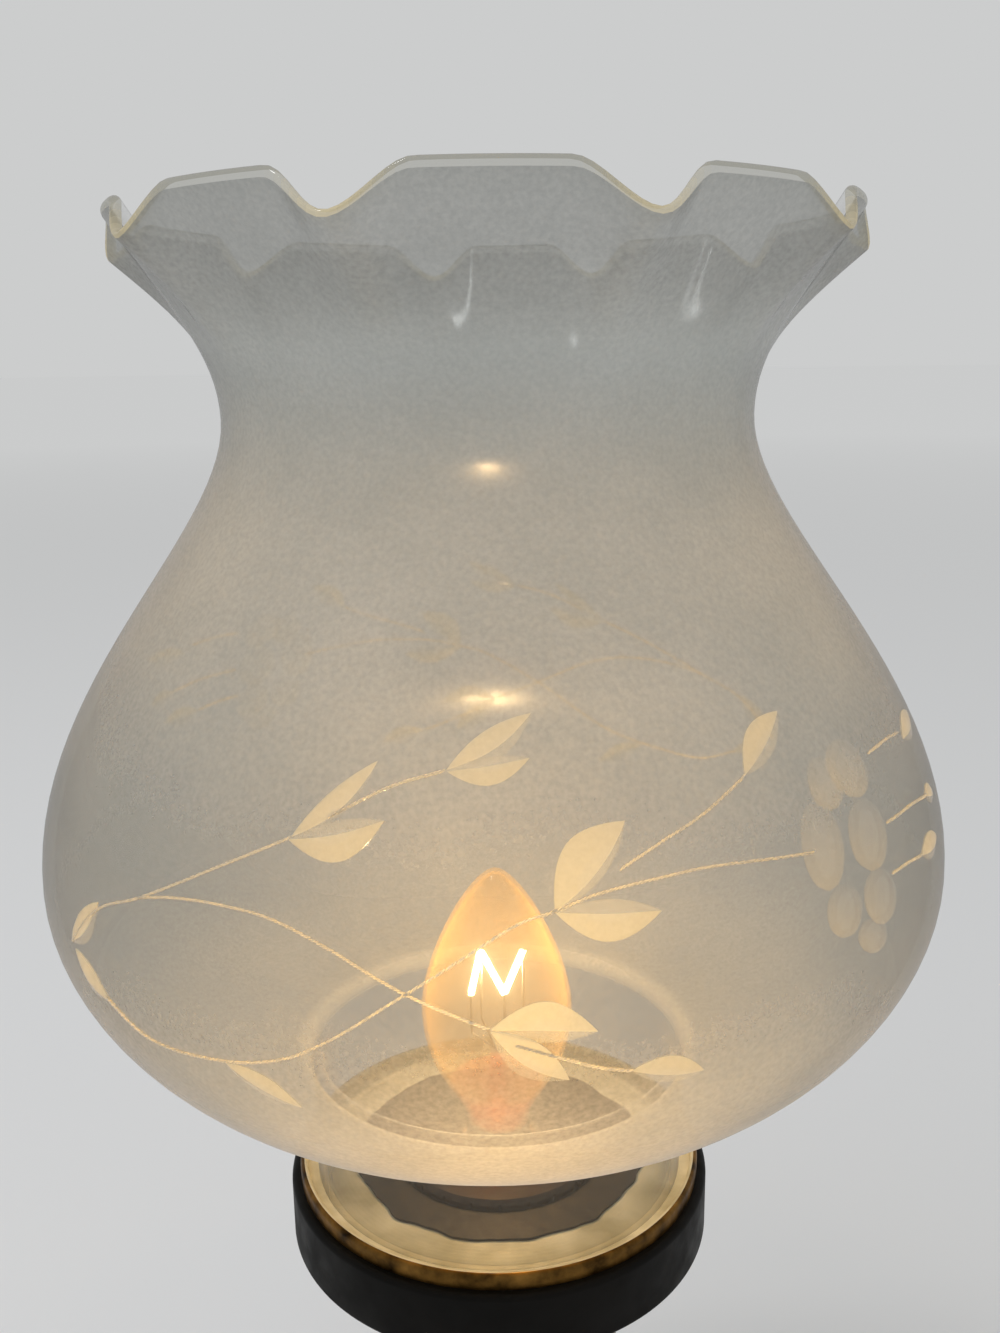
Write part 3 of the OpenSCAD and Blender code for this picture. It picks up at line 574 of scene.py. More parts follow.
# Tin solder, set from the melt: pale grey and soft edged
SOLDER = Worked("set_tin_solder", "#8f9091", "#c6c7c5", 1.5, (0.25, 0.45), 1.0)
# Sand cast iron: dark, dry and pitted
CAST_IRON = Worked("sand_cast_iron", "#1d1d1d", "#3a3836", 4.0, (0.6, 0.8), 0.6, 1.5, 0.2)
# Wool felt: dark green with a fibre nap
FELT = Worked("pressed_wool_felt", "#16261a", "#2f4a35", 2.0, (0.85, 0.95), grain=0.5, relief=0.15, sheen=0.5)
# Vulcanised fibre: brown board with a dull face
FIBRE = Worked("vulcanised_fibre", "#3a2515", "#5c3c22", 3.0, (0.55, 0.7))
# Black lamp glass round the centre contact
BLACK_GLASS = Worked("fused_black_glass", "#070708", "#18171a", 3.0, (0.1, 0.2))
# Extruded wire jackets
BROWN_PVC = Worked("extruded_brown_pvc", "#2d170c", "#4b2a18", 4.0, (0.4, 0.5))
BLUE_PVC = Worked("extruded_blue_pvc", "#1b3563", "#30548f", 4.0, (0.4, 0.5))
# The studio's floor, painted paler far off so that it meets the sky without a line
FLOOR = PaleFloor("matt_studio_floor", "#e8e8e8", "#fdfdfd", (0.4, 6.0))

# Finish of each of the record's material slots
SLOT_FINISH: dict[str, Finish] = {
    "satin_glass": SATIN_GLASS, "bulb_glass": BULB_GLASS, "filament": TUNGSTEN, "steel": STEEL,
    "brass": TURNED_BRASS, "tin_solder": SOLDER, "black_glass": BLACK_GLASS, "dark_wood": DARK_WOOD,
    "black_lacquer": BLACK_LACQUER, "bakelite": BAKELITE, "porcelain": PORCELAIN, "cast_iron": CAST_IRON,
    "felt": FELT, "fibre": FIBRE, "brown_pvc": BROWN_PVC, "blue_pvc": BLUE_PVC,
}
NODE_SLOT: dict[str, str] = {part["node"]: part["material_slot"] for part in frame["record"]["subparts"]}


# Mesh work


def curve(start: Vector, pull: Vector, push: Vector, end: Vector, count: int) -> list[Vector]:
    """Points of a cubic curve.

    Args:
        start: First point, as radius and height.
        pull: Handle of the first point, from that point.
        push: Handle of the last point, from that point.
        end: Last point.
        count: How many points, both ends included.

    Returns:
        The points in order.
    """
    return [Vector(p) for p in interpolate_bezier(start, start + pull, end + push, end, count)]


def arc(middle: Vector, radius: float, first: float, last: float, count: int) -> list[Vector]:
    """Points of a round stretch.

    Args:
        middle: Centre, as radius and height.
        radius: Radius of the stretch.
        first: Angle of its first point in degrees.
        last: Angle of its last point in degrees.
        count: How many points, both ends included.

    Returns:
        The points in order.
    """
    turns = [math.radians(first + (last - first) * i / (count - 1)) for i in range(count)]
    return [middle + radius * Vector((math.cos(t), math.sin(t))) for t in turns]


def beside(line: Sequence[Vector], gap: float) -> list[Vector]:
    """A line beside another.

    Args:
        line: The points of the first line.
        gap: How far to its left the second lies.

    Returns:
        The points of the second line.
    """
    moved = []
    for i, point in enumerate(line):
        way = (line[min(i + 1, len(line) - 1)] - line[max(i - 1, 0)]).normalized()
        moved.append(point + gap * Vector((-way.y, way.x)))
    return moved


def bearing(spot: Vector) -> float:
    """Degrees from the front towards +X."""
    return math.degrees(math.atan2(spot.x, -spot.y))


def lathe(line: Sequence[Vector], steps: int, closed: bool = True) -> bmesh.types.BMesh:
    """Turns a profile round the lamp's axis.

    Args:
        line: Radius and height of each point, in millimetres.
        steps: Facets round the axis.
        closed: Whether the last point joins the first.

    Returns:
        The turned mesh in metres, with its faces outwards.
    """
    bm = bmesh.new()
    verts = [bm.verts.new((p.x * MM, 0, p.y * MM)) for p in line]
    ends = verts[1:] + verts[:1] if closed else verts[1:]
    edges = [bm.edges.new(pair) for pair in zip(verts, ends)]
    bmesh.ops.spin(bm, geom=verts + edges, cent=(0, 0, 0), axis=(0, 0, 1), angle=math.tau, steps=steps,
                   use_merge=True)
    bmesh.ops.remove_doubles(bm, verts=bm.verts[:], dist=WELD)
    bmesh.ops.recalc_face_normals(bm, faces=bm.faces[:])
    return bm


def shown(name: str, bm: bmesh.types.BMesh, finishes: Sequence[Finish]) -> bpy.types.Object:
    """Brings a mesh into the scene.

    Args:
        name: Name of the object and of its mesh.
        bm: The mesh, which is used up.
        finishes: Finish of each material index.

    Returns:
        The object.
    """
    mesh = bpy.data.meshes.new(name)
    bm.to_mesh(mesh)
    bm.free()
    for finish in finishes:
        mesh.materials.append(finish.material())
    made = bpy.data.objects.new(name, mesh)
    bpy.context.scene.collection.objects.link(made)
    return made


def finished(name: str, bm: bmesh.types.BMesh, finish: Finish, node: str, stands: bool = True,
             crease: float = 32.0, trims: Sequence[Finish] = ()) -> None:
    """Makes a piece of a mesh, dresses it and hangs it on its body.

    Args:
        name: Name of the piece.
        bm: Its mesh, which is used up.
        finish: Its finish.
        node: Frame node that it belongs to.
        stands: Whether it stands for that node, or lies on it.
        crease: Edges sharper than this many degrees stay sharp.
        trims: Finishes of the faces whose material index is 1 or more.
    """
    piece = shown(name, bm, (finish, *trims))
    piece.data.shade_smooth()
    piece.data.set_sharp_from_angle(angle=math.radians(crease))
    body = frame["nodes"][node]["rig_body"]
    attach(piece, body)
    if stands:
        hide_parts(node)
    log.info("%s: %d faces in %s, on %s", name, len(piece.data.polygons), finish.name, body)


def refined(node: str, finish: Finish) -> None:
    """Puts a smooth copy of a frame node in its place.

    Args:
        node: Name of the node.
        finish: Finish of the copy.
    """
    bm = bmesh.new()
    bm.from_mesh(frame["nodes"][node].data)
    bmesh.ops.remove_doubles(bm, verts=bm.verts[:], dist=WELD)
    finished(f"{node}_finished", bm, finish, node)


def dressed(node: str, finish: Finish) -> None:
    """Gives a frame node its finish.

    Args:
        node: Name of the node.
        finish: Its finish.
    """
    materials = frame["nodes"][node].data.materials
    materials.clear()
    materials.append(finish.material())
    log.info("%s: dressed in %s", node, finish.name)


# Sub-assemblies


@dataclass
class Shade:
    """Blown glass shade with a crimped rim; lengths in millimetres above its seat."""

    neck_r: float = 43.0
    neck_h: float = 31.0
    neck_fillet: float = 4.0
    # Rings of points on the straight foot of the neck
    neck_rings: tuple[float, ...] = (0.0, 9.0, 18.0)
    belly_r: float = 96.0
    belly_h: float = 82.0
    waist_r: float = 54.5
    waist_h: float = 173.0
    rim_r: float = 74.5
    height: float = 212.0
    wall: float = 2.4
    crimp_drop: float = 7.0
    crimp_flare: float = 3.0
    crimp_share: float = 0.26
    # Width of the fire-polished rim
    rim_w: float = 1.4
    # How strong the rim's haze is on the flats and in the crimps: a painted glow, strongest in the crimps
    painted_rim_glow: tuple[float, float] = (0.12, 1.6)
    shoulder_pull: Vector = Vector((20.9, 2.1))
    belly_pull_low: float = 26.0
    belly_pull_high: float = 38.5
    waist_pull_low: float = 22.0
    waist_pull_high: float = 14.0
    rim_pull: Vector = Vector((10.1, 16.1))
    # Places of the ten hand-made crimps, in degrees from the front
    crimps: tuple[float, ...] = (-53, -18, 20, 53, 88, 124, 159, 190, 229, 268)
    steps: int = 288

    def __post_init__(self) -> None:
        """Works out the outer line once, because the vine reads it many times."""
        self.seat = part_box("glass_shade")[0].z / MM
        self.line = self.outer_line()

    def outer_line(self) -> list[Vector]:
        """Outside of the glass from its foot to its rim.

        Returns:
            Radius and height of each point.
        """
        fillet = Vector((self.neck_r + self.neck_fillet, self.neck_h - self.neck_fillet))
        belly = Vector((self.belly_r, self.belly_h))
        waist = Vector((self.waist_r, self.waist_h))
        rim = Vector((self.rim_r, self.height))
        corner = arc(fillet, self.neck_fillet, 180, 90, 6)
        low = curve(corner[-1], self.shoulder_pull, Vector((0, -self.belly_pull_low)), belly, 24)
        high = curve(belly, Vector((0, self.belly_pull_high)), Vector((0, -self.waist_pull_low)), waist, 28)
        flare = curve(waist, Vector((0, self.waist_pull_high)), -self.rim_pull, rim, 18)
        foot = [Vector((self.neck_r, h)) for h in self.neck_rings]
        return foot + corner + low[1:] + high[1:] + flare[1:]

    def radius_at(self, height: float) -> float:
        """Outside radius of the glass.

        Args:
            height: Height above the seat.

        Returns:
            The radius there, before crimping.
        """
        for low, high in zip(self.line, self.line[1:]):
            if low.y <= height <= high.y:
                share = (height - low.y) / max(high.y - low.y, 1e-9)
                return low.x + share * (high.x - low.x)
        return self.line[-1].x

    def slope_at(self, height: float) -> float:
        """How much the outside radius grows in a millimetre of height."""
        return self.radius_at(height + 0.5) - self.radius_at(height - 0.5)

    def over(self, spot: Spot, lift: float) -> Vector:
        """A point over the outside of the glass.

        Args:
            spot: Angle and height.
            lift: Distance from the glass, outwards.

        Returns:
            The point in metres.
        """
        angle, height = math.radians(spot[0]), spot[1]
        out = Vector((1, -self.slope_at(height))).normalized()
        reach = self.radius_at(height) + lift * out.x
        level = self.seat + height + lift * out.y
        return MM * Vector((reach * math.sin(angle), -reach * math.cos(angle), level))

    def outwards(self, spot: Vector) -> Vector:
        """Way out of the glass.

        Args:
            spot: A point in the wall, in metres above the seat.

        Returns:
            The outside's normal at that height.
        """
        return Vector((spot.x, spot.y, -self.slope_at(spot.z / MM) * spot.xy.length)).normalized()

    def crimp_weight(self, angle: float) -> float:
        """How much of a crimp there is at an angle.

        Args:
            angle: Degrees from the front.

        Returns:
            1 in the middle of a crimp, 0 on the flats.
        """
        after = [*self.crimps[1:], self.crimps[0] + 360]
        turned = self.crimps[0] + (angle - self.crimps[0]) % 360
        for here, there in zip(self.crimps, after):
            if here <= turned <= there:
                share = (turned - here) / (there - here)
                way = min(1.0, min(share, 1 - share) / self.crimp_share)
                return 1 - way * way * (3 - 2 * way)
        return 0.0

    def profile(self) -> list[Vector]:
        """Closed line of the glass: outside up, fire-polished rim, inside down.

        Returns:
            Radius and height of each point.
        """
        inside = beside(self.line, self.wall)
        way = (self.line[-1] - self.line[-2]).normalized()
        half = self.wall / 2
        middle = (self.line[-1] + inside[-1]) / 2 - half * way
        lead = math.degrees(math.atan2(way.y, way.x))
        rim = arc(middle, half, lead - 90, lead + 90, 9)
        return self.line[:-1] + rim + inside[-2::-1]

    def side(self, face: bmesh.types.BMFace) -> GlassFace:
        """Which side of the glass a face is on.

        Args:
            face: A face of the turned glass, before its crimps are drawn.

        Returns:
            The side.
        """
        if min(v.co.z for v in face.verts) > (self.height - self.rim_w) * MM:
            return GlassFace.RIM
        if face.normal.dot(self.outwards(face.calc_center_median())) < 0:
            return GlassFace.INNER
        return GlassFace.ETCHED

    def build(self) -> None:
        """Blows the shade and draws its crimps."""
        bm = lathe(self.profile(), self.steps)
        tone = bm.faces.layers.float.new(TONE)
        for face in bm.faces:
            face.material_index = self.side(face).value
            # The rim's painted glow: a denser haze in the crimps than on the flats
            dip = self.crimp_weight(bearing(face.calc_center_median()))
            face[tone] = self.painted_rim_glow[0] + (self.painted_rim_glow[1] - self.painted_rim_glow[0]) * dip
        for vert in bm.verts:
            up = (vert.co.z / MM - self.waist_h) / (self.height - self.waist_h)
            if up > 0:
                pull = self.crimp_weight(bearing(vert.co)) * up * up
                radius = vert.co.xy.length
                vert.co.xy *= (radius + self.crimp_flare * MM * pull) / radius
                vert.co.z -= self.crimp_drop * MM * pull
        bmesh.ops.translate(bm, verts=bm.verts[:], vec=(0, 0, self.seat * MM))
        finished("blown_glass_shade", bm, SATIN_GLASS, "glass_shade", trims=(RIM_GLASS, INNER_GLASS))


@dataclass(frozen=True)
class Cut:
    """One leaf, bud or petal that the wheel cut.

    Attributes:
        kind: Its outline.
        base: Where it leaves the stem.
        tip: Its far end.
        width: Its width in millimetres.
        bow: How far its middle line bends to its left.
        ridge: Where its ridge lies, from -1 at its right edge to 1 at its left. The wider slope gets the
            denser haze, a painted highlight, and the other a painted shade.
    """

    kind: CutKind
    base: Spot
    tip: Spot
    width: float
    bow: float = 0.0
    ridge: float = -1 / 3


@dataclass
class CutVine:
    """Wheel-cut vine on the shade's belly, once on the front and once on the back."""

    shade: Shade
    turns: tuple[float, ...] = (0.0, 180.0)
    # Height of a cut's ridge over the glass, and how deep its underside lies in the glass
    ridge: float = 0.35
    edge: float = 0.06
    depth: float = 0.3
    # A stem is a row of short slanting cuts, like the lay of a rope
    seed_gap: float = 0.7
    seed_length: float = 1.5
    seed_width: float = 0.4
    seed_turn: float = 17.0
    # Facets along and across a cut, and how blunt a leaf's ends are
    facets: tuple[int, int] = (16, 6)
    bluntness: float = 0.9
    # Haze of a leaf's brighter and darker slope, painted highlight and painted shade on its two facets, and
    # of a petal's lower and upper end
    painted_slope_light: tuple[float, float] = (1.5, 0.4)
    petal_ends: tuple[float, float] = (1.9, 0.3)

    stems: tuple[tuple[Spot, ...], ...] = (
        ((-52, 84), (-46, 93), (-39, 98), (-29, 106), (-21, 112)),
        ((-17, 115.5), (-11, 120), (-5, 122.5)),
        ((-39, 98), (-34, 99.8), (-28, 100.6), (-22, 100), (-15.6, 96.7), (-8.3, 91), (-0.6, 85.8)),
        ((2, 83), (6, 80.5), (9.5, 78.3), (12.5, 77)),
        ((-45, 77), (-38, 73), (-28, 74.4), (-21, 77.5), (-15.5, 82.6), (-8.3, 91), (1, 100.5), (5.6, 103)),
        ((5.6, 103), (10, 105), (16, 106.2), (23, 106.6), (35, 105)),
        ((12.5, 108.2), (17, 111.2), (22, 114), (28.5, 118.3)),
        ((50.4, 115.6), (56, 115.8), (61, 115.2)),
        ((48.9, 104.4), (56, 104.2), (62.5, 102.9)),
        ((47.6, 96.3), (51.5, 96.1), (55.4, 95.3)),
    )
    cuts: tuple[Cut, ...] = (
        Cut(CutKind.LEAF, (-21, 112), (-12.6, 123.2), 4.0, -0.6, -2 / 3),
        Cut(CutKind.LEAF, (-21.3, 111.6), (-11.2, 115.4), 6.4, -1.7, 1 / 3),
        Cut(CutKind.LEAF, (-5, 122.5), (4.5, 130), 5.0, -0.6),
        Cut(CutKind.LEAF, (-5, 122.3), (4, 124), 4.5, -1.0, 1 / 3),
        Cut(CutKind.LEAF, (-0.6, 85.8), (9.2, 84.6), 6.5, 1.5),
        Cut(CutKind.LEAF, (-0.6, 85.5), (6.6, 76.6), 6.0, -0.4),
        Cut(CutKind.LEAF, (12.5, 77), (20, 74.6), 5.0, 0.4),
        Cut(CutKind.LEAF, (5.6, 103), (13.4, 114.4), 7.5, 1.4, -2 / 3),
        Cut(CutKind.LEAF, (5.6, 102.8), (16, 101.6), 6.5, -1.2, 1 / 3),
        Cut(CutKind.LEAF, (-52.5, 83.6), (-46.2, 94), 5.5, -0.8),
        Cut(CutKind.LEAF, (-51.5, 82.6), (-44.6, 76.6), 5.0, -0.6),
        Cut(CutKind.LEAF, (-27.5, 74.2), (-19.6, 68.2), 4.5, 0.4),
        Cut(CutKind.LEAF, (28.5, 118.3), (36.5, 126), 6.0, 0.6),
        Cut(CutKind.LEAF, (62, 113.6), (72, 115), 5.0),
        Cut(CutKind.LEAF, (62.3, 103), (67, 101.5), 4.0),
        Cut(CutKind.LEAF, (55.6, 95.2), (63, 95), 5.0),
        Cut(CutKind.PETAL, (39, 110), (40.5, 118), 8.5),
        Cut(CutKind.PETAL, (43, 110.8), (46.3, 118.8), 11.5),
        Cut(CutKind.PETAL, (35.9, 98.4), (37.1, 112), 10.0),
        Cut(CutKind.PETAL, (37, 90.2), (38.8, 98.4), 9.0),
        Cut(CutKind.PETAL, (43.2, 98.6), (45.6, 109.4), 11.5),
        Cut(CutKind.PETAL, (42.8, 89.8), (45.9, 97.6), 10.5),
        Cut(CutKind.PETAL, (41.5, 85.2), (42.9, 90.8), 9.0),
    )

    def placed(self, base: Spot, along: float, across: float, way: Vector, lift: float) -> Vector:
        """A point of a cut, from its own flat coordinates.

        Args:
            base: Where the cut starts.
            along: Millimetres along the cut.
            across: Millimetres to its left.
            way: Unit direction of the cut, with x round the glass and y up it.
            lift: Millimetres over the glass.

        Returns:
            The point in metres.
        """
        flat = along * way + across * Vector((-way.y, way.x))
        rise = self.climb(base[1])
        height = base[1] + flat.y / rise
        angle = base[0] + math.degrees(flat.x / self.shade.radius_at(base[1] + flat.y / (2 * rise)))
        return self.shade.over((angle, height), lift)

    def climb(self, height: float) -> float:
        """Millimetres along the glass for each millimetre of height."""
        return math.hypot(1, self.shade.slope_at(height))

    def tone(self, cut: Cut, spot: Vector) -> float:
        """How strong the haze is at a place on a cut.

        Args:
            cut: The cut.
            spot: The place on a square of side 1, with x along the cut and y to its left.

        Returns:
            A factor for the finish's haze.
        """
        if cut.kind is CutKind.PETAL:
            low, high = self.petal_ends
            return low + (high - low) * (spot.x + 0.5)
        return self.painted_slope_light[(2 * spot.y > cut.ridge) == (cut.ridge > 0)]

    def fall(self, cut: Cut, side: float) -> float:
        """How far a cut has fallen from its ridge.

        Args:
            cut: The cut.
            side: Place across it, from -1 at its right edge to 1 at its left.

        Returns:
            0 on the ridge and 1 at an edge.
        """
        if cut.kind is CutKind.PETAL:
            return side * side
        edge = math.copysign(1.0, side - cut.ridge)
        return (side - cut.ridge) / (edge - cut.ridge)

    def lens(self, cut: Cut, turn: float) -> bmesh.types.BMesh:
        """A thin cut with a ridge along it, laid on the glass.

        Args:
            cut: The cut.
            turn: Degrees round the shade.

        Returns:
            Its closed mesh.
        """
        base = (cut.base[0] + turn, cut.base[1])
        middle = (cut.base[1] + cut.tip[1]) / 2
        reach = Vector((math.radians(cut.tip[0] - cut.base[0]) * self.shade.radius_at(middle),
                        (cut.tip[1] - cut.base[1]) * self.climb(middle)))
        length, way = reach.length, reach.normalized()
        bm = bmesh.new()
        bmesh.ops.create_grid(bm, x_segments=self.facets[0], y_segments=self.facets[1], size=0.5)
        tone = bm.faces.layers.float.new(TONE)
        for face in bm.faces:
            face[tone] = self.tone(cut, face.calc_center_median())
        for vert in bm.verts:
            share, side = vert.co.x + 0.5, 2 * vert.co.y
            round_end = math.sqrt(max(0.0, 1 - (2 * share - 1) ** 2))
            taper = round_end if cut.kind is CutKind.PETAL else math.sin(math.pi * share) ** self.bluntness
            across = side * taper * cut.width / 2 + cut.bow * math.sin(math.pi * share)
            lift = self.edge + self.ridge * taper * (1 - self.fall(cut, side))
            vert.co = self.placed(base, share * length, across, way, lift)
        bmesh.ops.remove_doubles(bm, verts=bm.verts[:], dist=WELD)
        bmesh.ops.solidify(bm, geom=bm.faces[:], thickness=self.depth * MM)
        bmesh.ops.recalc_face_normals(bm, faces=bm.faces[:])
        return bm

    def stem_line(self, stem: Sequence[Spot], count: int = 40) -> list[Vector]:
        """A smooth run of spots along a stem.

        Args:
            stem: The stem's points.
            count: Spots from one point to the next.

        Returns:
            The spots in order.
        """
        knots = [Vector(p) for p in stem]
        knots = [2 * knots[0] - knots[1], *knots, 2 * knots[-1] - knots[-2]]
        line = []
        for a, b, c, d in zip(knots, knots[1:], knots[2:], knots[3:]):
            line += curve(b, (c - a) / 6, (b - d) / 6, c, count)[:-1]
        return [*line, knots[-2]]

    def seeds(self, bm: bmesh.types.BMesh, stem: Sequence[Spot], turn: float) -> None:
        """Adds a stem's row of slanting cuts.

        Args:
            bm: The mesh to add to.
            stem: The stem's points.
            turn: Degrees round the shade.
        """
        line = self.stem_line(stem)
        walked, due = 0.0, 0.0
        for here, there in zip(line, line[1:]):
            start = self.shade.over((here.x + turn, here.y), 0.0)
            end = self.shade.over((there.x + turn, there.y), 0.0)
            walked += (end - start).length / MM
            if walked < due:
                continue
            due += self.seed_gap
            out = (self.shade.over((here.x + turn, here.y), 1.0) - start).normalized()
            ahead = Matrix.Rotation(math.radians(self.seed_turn), 3, out) @ (end - start).normalized()
            side = out.cross(ahead)
            shape = (ahead * self.seed_length / 2, side * self.seed_width / 2, out * self.ridge)
            place = Matrix([column * MM for column in shape]).transposed().to_4x4()
            place.translation = start
            bmesh.ops.create_icosphere(bm, subdivisions=1, radius=1.0, matrix=place)

    def gathered(self, kind: CutKind) -> bmesh.types.BMesh:
        """All cuts of one kind, on every turn.

        Args:
            kind: The kind.

        Returns:
            Their one mesh.
        """
        whole = bmesh.new()
        for turn in self.turns:
            for cut in self.cuts:
                if cut.kind is kind:
                    part = self.lens(cut, turn)
                    mesh = bpy.data.meshes.new("cut")
                    part.to_mesh(mesh)
                    part.free()
                    whole.from_mesh(mesh)
                    bpy.data.meshes.remove(mesh)
        return whole

    def build(self) -> None:
        """Cuts the stems, the leaves and the flower."""
        rope = bmesh.new()
        for turn in self.turns:
            for stem in self.stems:
                self.seeds(rope, stem, turn)
        leaves, petals = self.gathered(CutKind.LEAF), self.gathered(CutKind.PETAL)
        finished("cut_vine_stems", rope, STEM_CUT, "glass_shade", stands=False)
        finished("cut_vine_leaves", leaves, CUT_GLASS, "glass_shade", stands=False, crease=8.0)
        finished("cut_vine_petals", petals, SHALLOW_CUT, "glass_shade", stands=False)


@dataclass
class Bulb:
    """Clear candle bulb with a zigzag filament; lengths in millimetres above its cap's edge."""

    cap_skirt_h: float = 4.0
    # Gap between the glass's foot and the bottom of the cap's skirt
    foot_gap: float = 0.3
    foot_r: float = 6.4
    neck: Vector = Vector((7.0, 1.0))
    wide: Vector = Vector((17.5, 29.0))
    height: float = 63.5
    wall: float = 0.8
    neck_pull: Vector = Vector((2.5, 7.7))
    low_pull: float = 14.5
    high_pull: float = 11.4
    tip_pull: Vector = Vector((6.5, -1.2))
    steps: int = 128
    wire_r: float = 0.2
    coil_r: float = 0.62
    coil_pitch: float = 0.66
    coil_steps: int = 10
    # Height of the salmon foot, a painted reflection, over the cap's edge
    foot_h: float = 9.5
    filament_rise: float = 32.0
    filament_h: float = 11.0
    filament_x: tuple[float, ...] = (-6.0, -3.6, 1.8, 6.3)

    def __post_init__(self) -> None:
        """Takes the level of the cap's edge from the frame."""
        self.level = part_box("bulb_cap")[1].z / MM

    def outer_line(self) -> list[Vector]:
        """Outside of the glass from its foot to its tip.

        Returns:
            Radius and height of each point.
        """
        tip = Vector((0, self.height))
        foot = [Vector((self.foot_r, h)) for h in (self.foot_gap - self.cap_skirt_h, 0.0)]
        low = curve(self.neck, self.neck_pull, Vector((0, -self.low_pull)), self.wide, 20)
        high = curve(self.wide, Vector((0, self.high_pull)), self.tip_pull, tip, 30)
        return foot + low + high[1:]

    def filament_line(self) -> list[Vector]:
        """The zigzag's corners, from left to right."""
        rises = (0.0, self.filament_h) * 2
        return [Vector((x, 0, self.level + self.filament_rise + r)) for x, r in zip(self.filament_x, rises)]

    def coil(self) -> list[Vector]:
        """The fine wire that coils along the zigzag.

        Returns:
            Its points in order.
        """
        points = []
        corners = self.filament_line()
        turned = 0.0
        for start, end in zip(corners, corners[1:]):
            way = end - start
            ahead = way.normalized()
            side = ahead.cross(Vector((0, 1, 0))).normalized()
            back = ahead.cross(side)
            count = int(self.coil_steps * way.length / self.coil_pitch)
            for i in range(count):
                turned += math.tau / self.coil_steps
                around = math.cos(turned) * side + math.sin(turned) * back
                points.append(start + way * i / count + self.coil_r * around)
        return points

    def build(self) -> None:
        """Blows the glass, winds the filament and finishes the stem and the cap."""
        line = self.outer_line()
        inside = [Vector((max(0.0, p.x), p.y)) for p in beside(line, self.wall)]
        inside[-1].x = 0.0
        bm = lathe([*reversed(line), *inside], self.steps, closed=False)
        for face in bm.faces:
            face.material_index = int(face.calc_center_median().z < self.foot_h * MM)
        bmesh.ops.translate(bm, verts=bm.verts[:], vec=(0, 0, self.level * MM))
        finished("blown_bulb_glass", bm, BULB_GLASS, "bulb_envelope", trims=(FOOT_GLASS,))
        finished("coiled_filament", self.wound(), TUNGSTEN, "bulb_filament")
        refined("bulb_stem", STEM_GLASS)
        refined("bulb_cap", STEEL)

    def wound(self) -> bmesh.types.BMesh:
        """Winds the filament.

        Returns:
            The mesh of its wire.
        """
        wire = bpy.data.curves.new("filament_wire", "CURVE")
        wire.dimensions = "3D"
        wire.bevel_depth = self.wire_r * MM
        wire.bevel_resolution = 1
        wire.use_fill_caps = True
        points = self.coil()
        run = wire.splines.new("POLY")
        run.points.add(len(points) - 1)
        for spot, point in zip(run.points, points):
            spot.co = (*(point * MM), 1)
        drawn = bpy.data.objects.new("filament_wire", wire)
        bpy.context.scene.collection.objects.link(drawn)
        mesh = bpy.data.meshes.new_from_object(drawn.evaluated_get(bpy.context.evaluated_depsgraph_get()))
        bpy.data.objects.remove(drawn)
        coiled = bmesh.new()
        coiled.from_mesh(mesh)
        bpy.data.meshes.remove(mesh)
        return coiled


